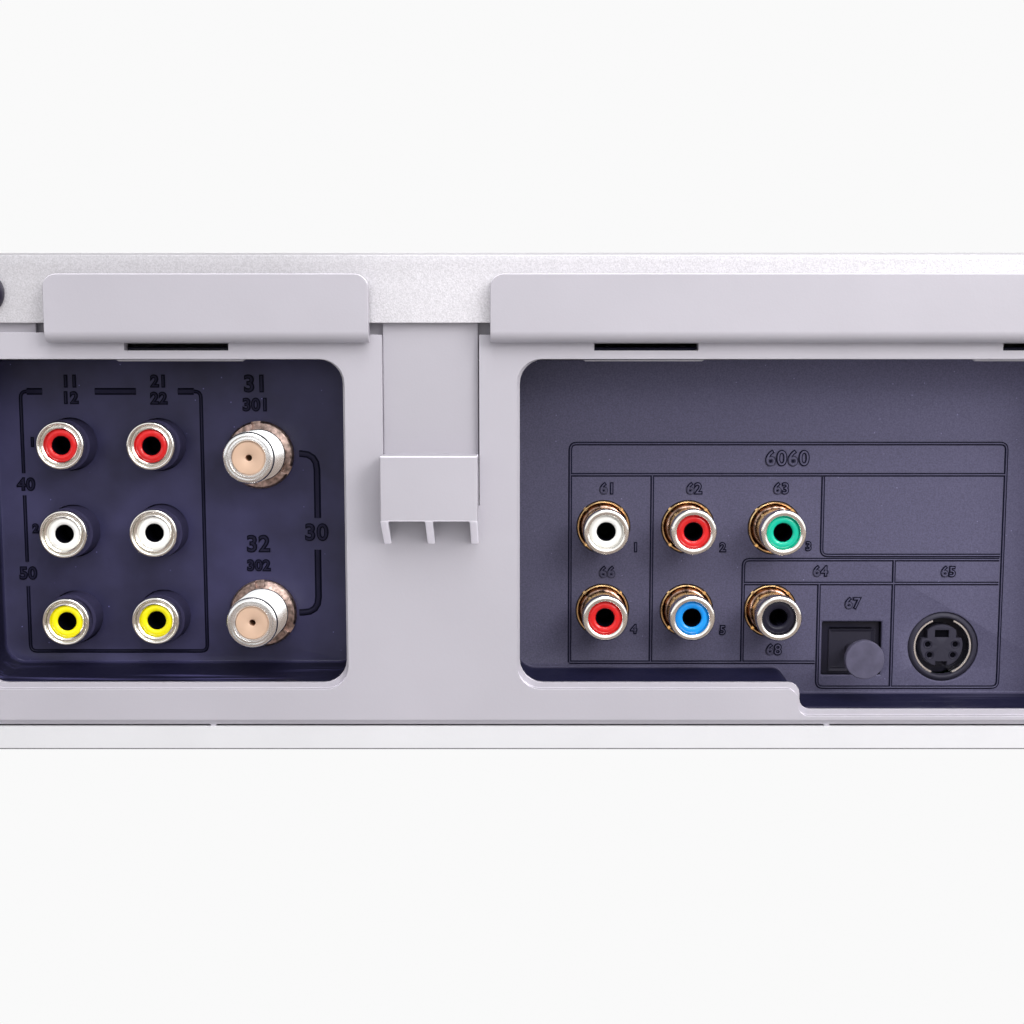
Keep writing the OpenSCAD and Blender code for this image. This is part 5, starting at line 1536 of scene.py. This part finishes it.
class PLAYER_OT_front(bpy.types.Operator):
    """Front panel, display, door, fascia, buttons and rocker."""

    bl_idname = "player.front"
    bl_label = "Front"

    def execute(self, context):
        for node, finish, body, width in (
                ("front_panel", "front_paint", "case", 0.5),
                ("display_window", "window_tint", "case", 0.3),
                ("display_module", "display_glass", "case", 0.4),
                ("cassette_door", "front_paint", "cassette_door", 0.6),
                ("tray_fascia", "front_paint", "disc_tray", 0.8),
                ("channel_rocker", "button_metal", "channel_rocker", 0.5)):
            refine(node, f"{node}_body", finish, width, 3, body=body)
        place(display_digits(), "display_glow", "display_glass")
        place(button_signs(), "screw_black")
        for name in ("power", "open", "eject", "stop", "play", "record"):
            node = f"{name}_button"
            refine(node, f"{name}_key", "button_metal", 0.25, 3, body=node)
        return {"FINISHED"}


class PLAYER_OT_inside(bpy.types.Operator):
    """Boards, disc loader and cassette deck."""

    bl_idname = "player.inside"
    bl_label = "Inside"

    def execute(self, context):
        for node, finish in (("jack_board", "board_green"), ("tuner_can", "tin_plate"),
                             ("lower_boards", "board_green"), ("power_parts", "component_mix"),
                             ("front_board", "board_green"), ("loader_frame", "black_plastic"),
                             ("loading_gear", "gear_plastic"), ("traverse", "tin_plate"),
                             ("turntable", "black_plastic"), ("pickup", "diecast"),
                             ("clamp_bridge", "tin_plate"), ("clamper", "black_plastic"),
                             ("deck_chassis", "tin_plate"), ("lower_drum", "diecast"),
                             ("upper_drum", "drum_aluminium"), ("capstan", "shaft_steel"),
                             ("pinch_arm", "tin_plate"), ("pinch_roller", "roller_rubber"),
                             ("supply_reel", "black_plastic"), ("takeup_reel", "black_plastic")):
            dress(node, finish)
        refine("disc_tray", "tray_body", "tray_plastic", 0.5, 3, body="disc_tray")
        refine("cassette_holder", "holder_body", "tin_plate", 0.2, body="cassette_holder")
        return {"FINISHED"}


# ---------- stage ----------

SEEN_WHITE = 0.955
FLOOR_MIRRORED = (0.27, 0.225, 0.2)
# Axis, the span of the way of a ray along it, and the strength of the room's light there
ROOM = (("Z", -0.1, 0.9, 1.02, 0.66), ("X", -1, 1, 1.2, 0.79), ("Y", -1, 1, 0.7, 1.15))
ROOM_MIRRORED = 1.25
# Name, place, target, size, power and tone of the lamps
LAMPS = (("key", (-0.45, 0.62, 0.42), (0, 0.13, 0.05), 0.35, 3.5, (1, 0.985, 0.97)),
         ("overhead", (-0.1, 0.75, 1.1), (0, 0.1, 0.05), 0.6, 7, (1, 1, 1)),
         ("front", (0.5, -1.2, 0.8), (0, -0.14, 0.05), 0.9, 6, (1, 1, 1)))
FLOOR_SIZE = 12
CAMERA_SHIFT = -8 / 1024


def area_light(name, where, target, size, power, tone):
    deselect()
    bpy.ops.object.light_add(type="AREA", location=where)
    lamp = bpy.context.object
    lamp.name = name
    lamp.data.size = size
    lamp.data.energy = power
    lamp.data.color = tone
    lamp.rotation_euler = (Vector(target) - Vector(where)).to_track_quat("-Z", "Y").to_euler()


def seen_apart(tree, lit, seen, to):
    """Shows one shader to the camera while another one throws the light."""
    both = tree.nodes.new("ShaderNodeMixShader")
    path = tree.nodes.new("ShaderNodeLightPath")
    for out, socket in ((path.outputs["Is Camera Ray"], both.inputs[0]), (lit, both.inputs[1]),
                        (seen, both.inputs[2]), (both.outputs[0], to)):
        tree.links.new(out, socket)


def pale_floor(tone):
    """White where it is seen; as a source it only throws back part of the room's light."""
    floor = Finish("floor_pale", tone, 0.9, Specular_IOR_Level=0.0)
    floor.rough(floor.noise(3, 2), 0.85, 0.95)
    dim = floor.add("ShaderNodeMix", data_type="RGBA")
    dim.inputs[6].default_value = (*tone, 1)
    dim.inputs[7].default_value = (*FLOOR_MIRRORED, 1)
    floor.link(floor.add("ShaderNodeLightPath").outputs["Is Glossy Ray"], dim.inputs["Factor"])
    floor.link(dim.outputs[2], floor.shader.inputs["Base Color"])
    seen = floor.add("ShaderNodeBsdfPrincipled", **{
        "Roughness": 0.9, "Base Color": (0, 0, 0, 1), "Specular IOR Level": 0,
        "Emission Color": (1, 1, 1, 1), "Emission Strength": SEEN_WHITE})
    seen_apart(floor.tree, floor.shader.outputs[0], seen.outputs[0],
               floor.tree.nodes["Material Output"].inputs["Surface"])
    return floor.material


def soft_room():
    """A pale room: brighter low down, behind the camera and to one side."""
    world = bpy.data.worlds.new("soft_room")
    bpy.context.scene.world = world
    world.use_nodes = True
    tree = world.node_tree

    def add(kind, **values):
        node = tree.nodes.new(kind)
        for key, value in values.items():
            node.inputs[key].default_value = value
        return node

    way = add("ShaderNodeSeparateXYZ")
    tree.links.new(add("ShaderNodeTexCoord").outputs["Generated"], way.inputs[0])
    glossy = add("ShaderNodeLightPath").outputs["Is Glossy Ray"]
    spans = [(way.outputs[axis], *span) for axis, *span in ROOM]
    strength = None
    for value, start, end, low, high in spans + [(glossy, 0, 1, 1, ROOM_MIRRORED)]:
        node = add("ShaderNodeMapRange", **{"From Min": start, "From Max": end,
                                            "To Min": low, "To Max": high})
        tree.links.new(value, node.inputs["Value"])
        share = node.outputs["Result"]
        if strength:
            times = tree.nodes.new("ShaderNodeMath")
            times.operation = "MULTIPLY"
            tree.links.new(strength, times.inputs[0])
            tree.links.new(share, times.inputs[1])
            share = times.outputs[0]
        strength = share
    lit = add("ShaderNodeBackground", Color=(0.985, 0.985, 1, 1))
    tree.links.new(strength, lit.inputs["Strength"])
    seen = add("ShaderNodeBackground", Color=(SEEN_WHITE, SEEN_WHITE, SEEN_WHITE, 1))
    seen_apart(tree, lit.outputs[0], seen.outputs[0], tree.nodes["World Output"].inputs["Surface"])


class PLAYER_OT_stage(bpy.types.Operator):
    """Camera, pale floor and soft light."""

    bl_idname = "player.stage"
    bl_label = "Stage"

    def execute(self, context):
        stage = settings("player_stage")
        deselect()
        bpy.ops.object.camera_add(
            location=(0, REAR_Y * MM + stage.camera_distance, stage.camera_height),
            rotation=(math.pi / 2 - stage.camera_pitch, 0, math.pi))
        camera = bpy.context.object
        camera.name = "camera"
        camera.data.lens = stage.camera_lens
        camera.data.sensor_width = 36
        camera.data.shift_x = CAMERA_SHIFT
        camera.data.clip_start = 0.01
        context.scene.camera = camera
        context.scene.view_settings.view_transform = "Standard"

        deselect()
        bpy.ops.mesh.primitive_plane_add(size=FLOOR_SIZE, location=(0, 0, 0))
        floor = named("floor")
        floor.data.materials.append(pale_floor(stage.floor_colour))
        soft_room()
        for lamp in LAMPS:
            area_light(*lamp)
        return {"FINISHED"}


# ---------- add-on ----------


class PLAYER_PT_panel(bpy.types.Panel):
    """Lists the builders and settings of the player."""

    bl_idname = "PLAYER_PT_panel"
    bl_label = "Player"
    bl_space_type = "VIEW_3D"
    bl_region_type = "UI"
    bl_category = "Player"

    def draw(self, context):
        for operator in OPERATORS:
            self.layout.operator(operator.bl_idname)
        for name, group in GROUPS.items():
            box = self.layout.box()
            for key in group.__annotations__:
                box.prop(getattr(context.scene, name), key)


OPERATORS = (PLAYER_OT_stage, PLAYER_OT_case, PLAYER_OT_rear_panel, PLAYER_OT_jack_wells,
             PLAYER_OT_phono_jacks, PLAYER_OT_aerial_connectors, PLAYER_OT_small_sockets,
             PLAYER_OT_front, PLAYER_OT_inside)
CLASSES = (*GROUPS.values(), *OPERATORS, PLAYER_PT_panel)


def register():
    for cls in CLASSES:
        bpy.utils.register_class(cls)
    for name, group in GROUPS.items():
        setattr(bpy.types.Scene, name, bpy.props.PointerProperty(type=group))


def unregister():
    for name in GROUPS:
        delattr(bpy.types.Scene, name)
    for cls in reversed(CLASSES):
        bpy.utils.unregister_class(cls)


def main():
    register()
    make_finishes()
    for operator in OPERATORS:
        group, name = operator.bl_idname.split(".")
        getattr(getattr(bpy.ops, group), name)()


if __name__ == "__main__":
    main()
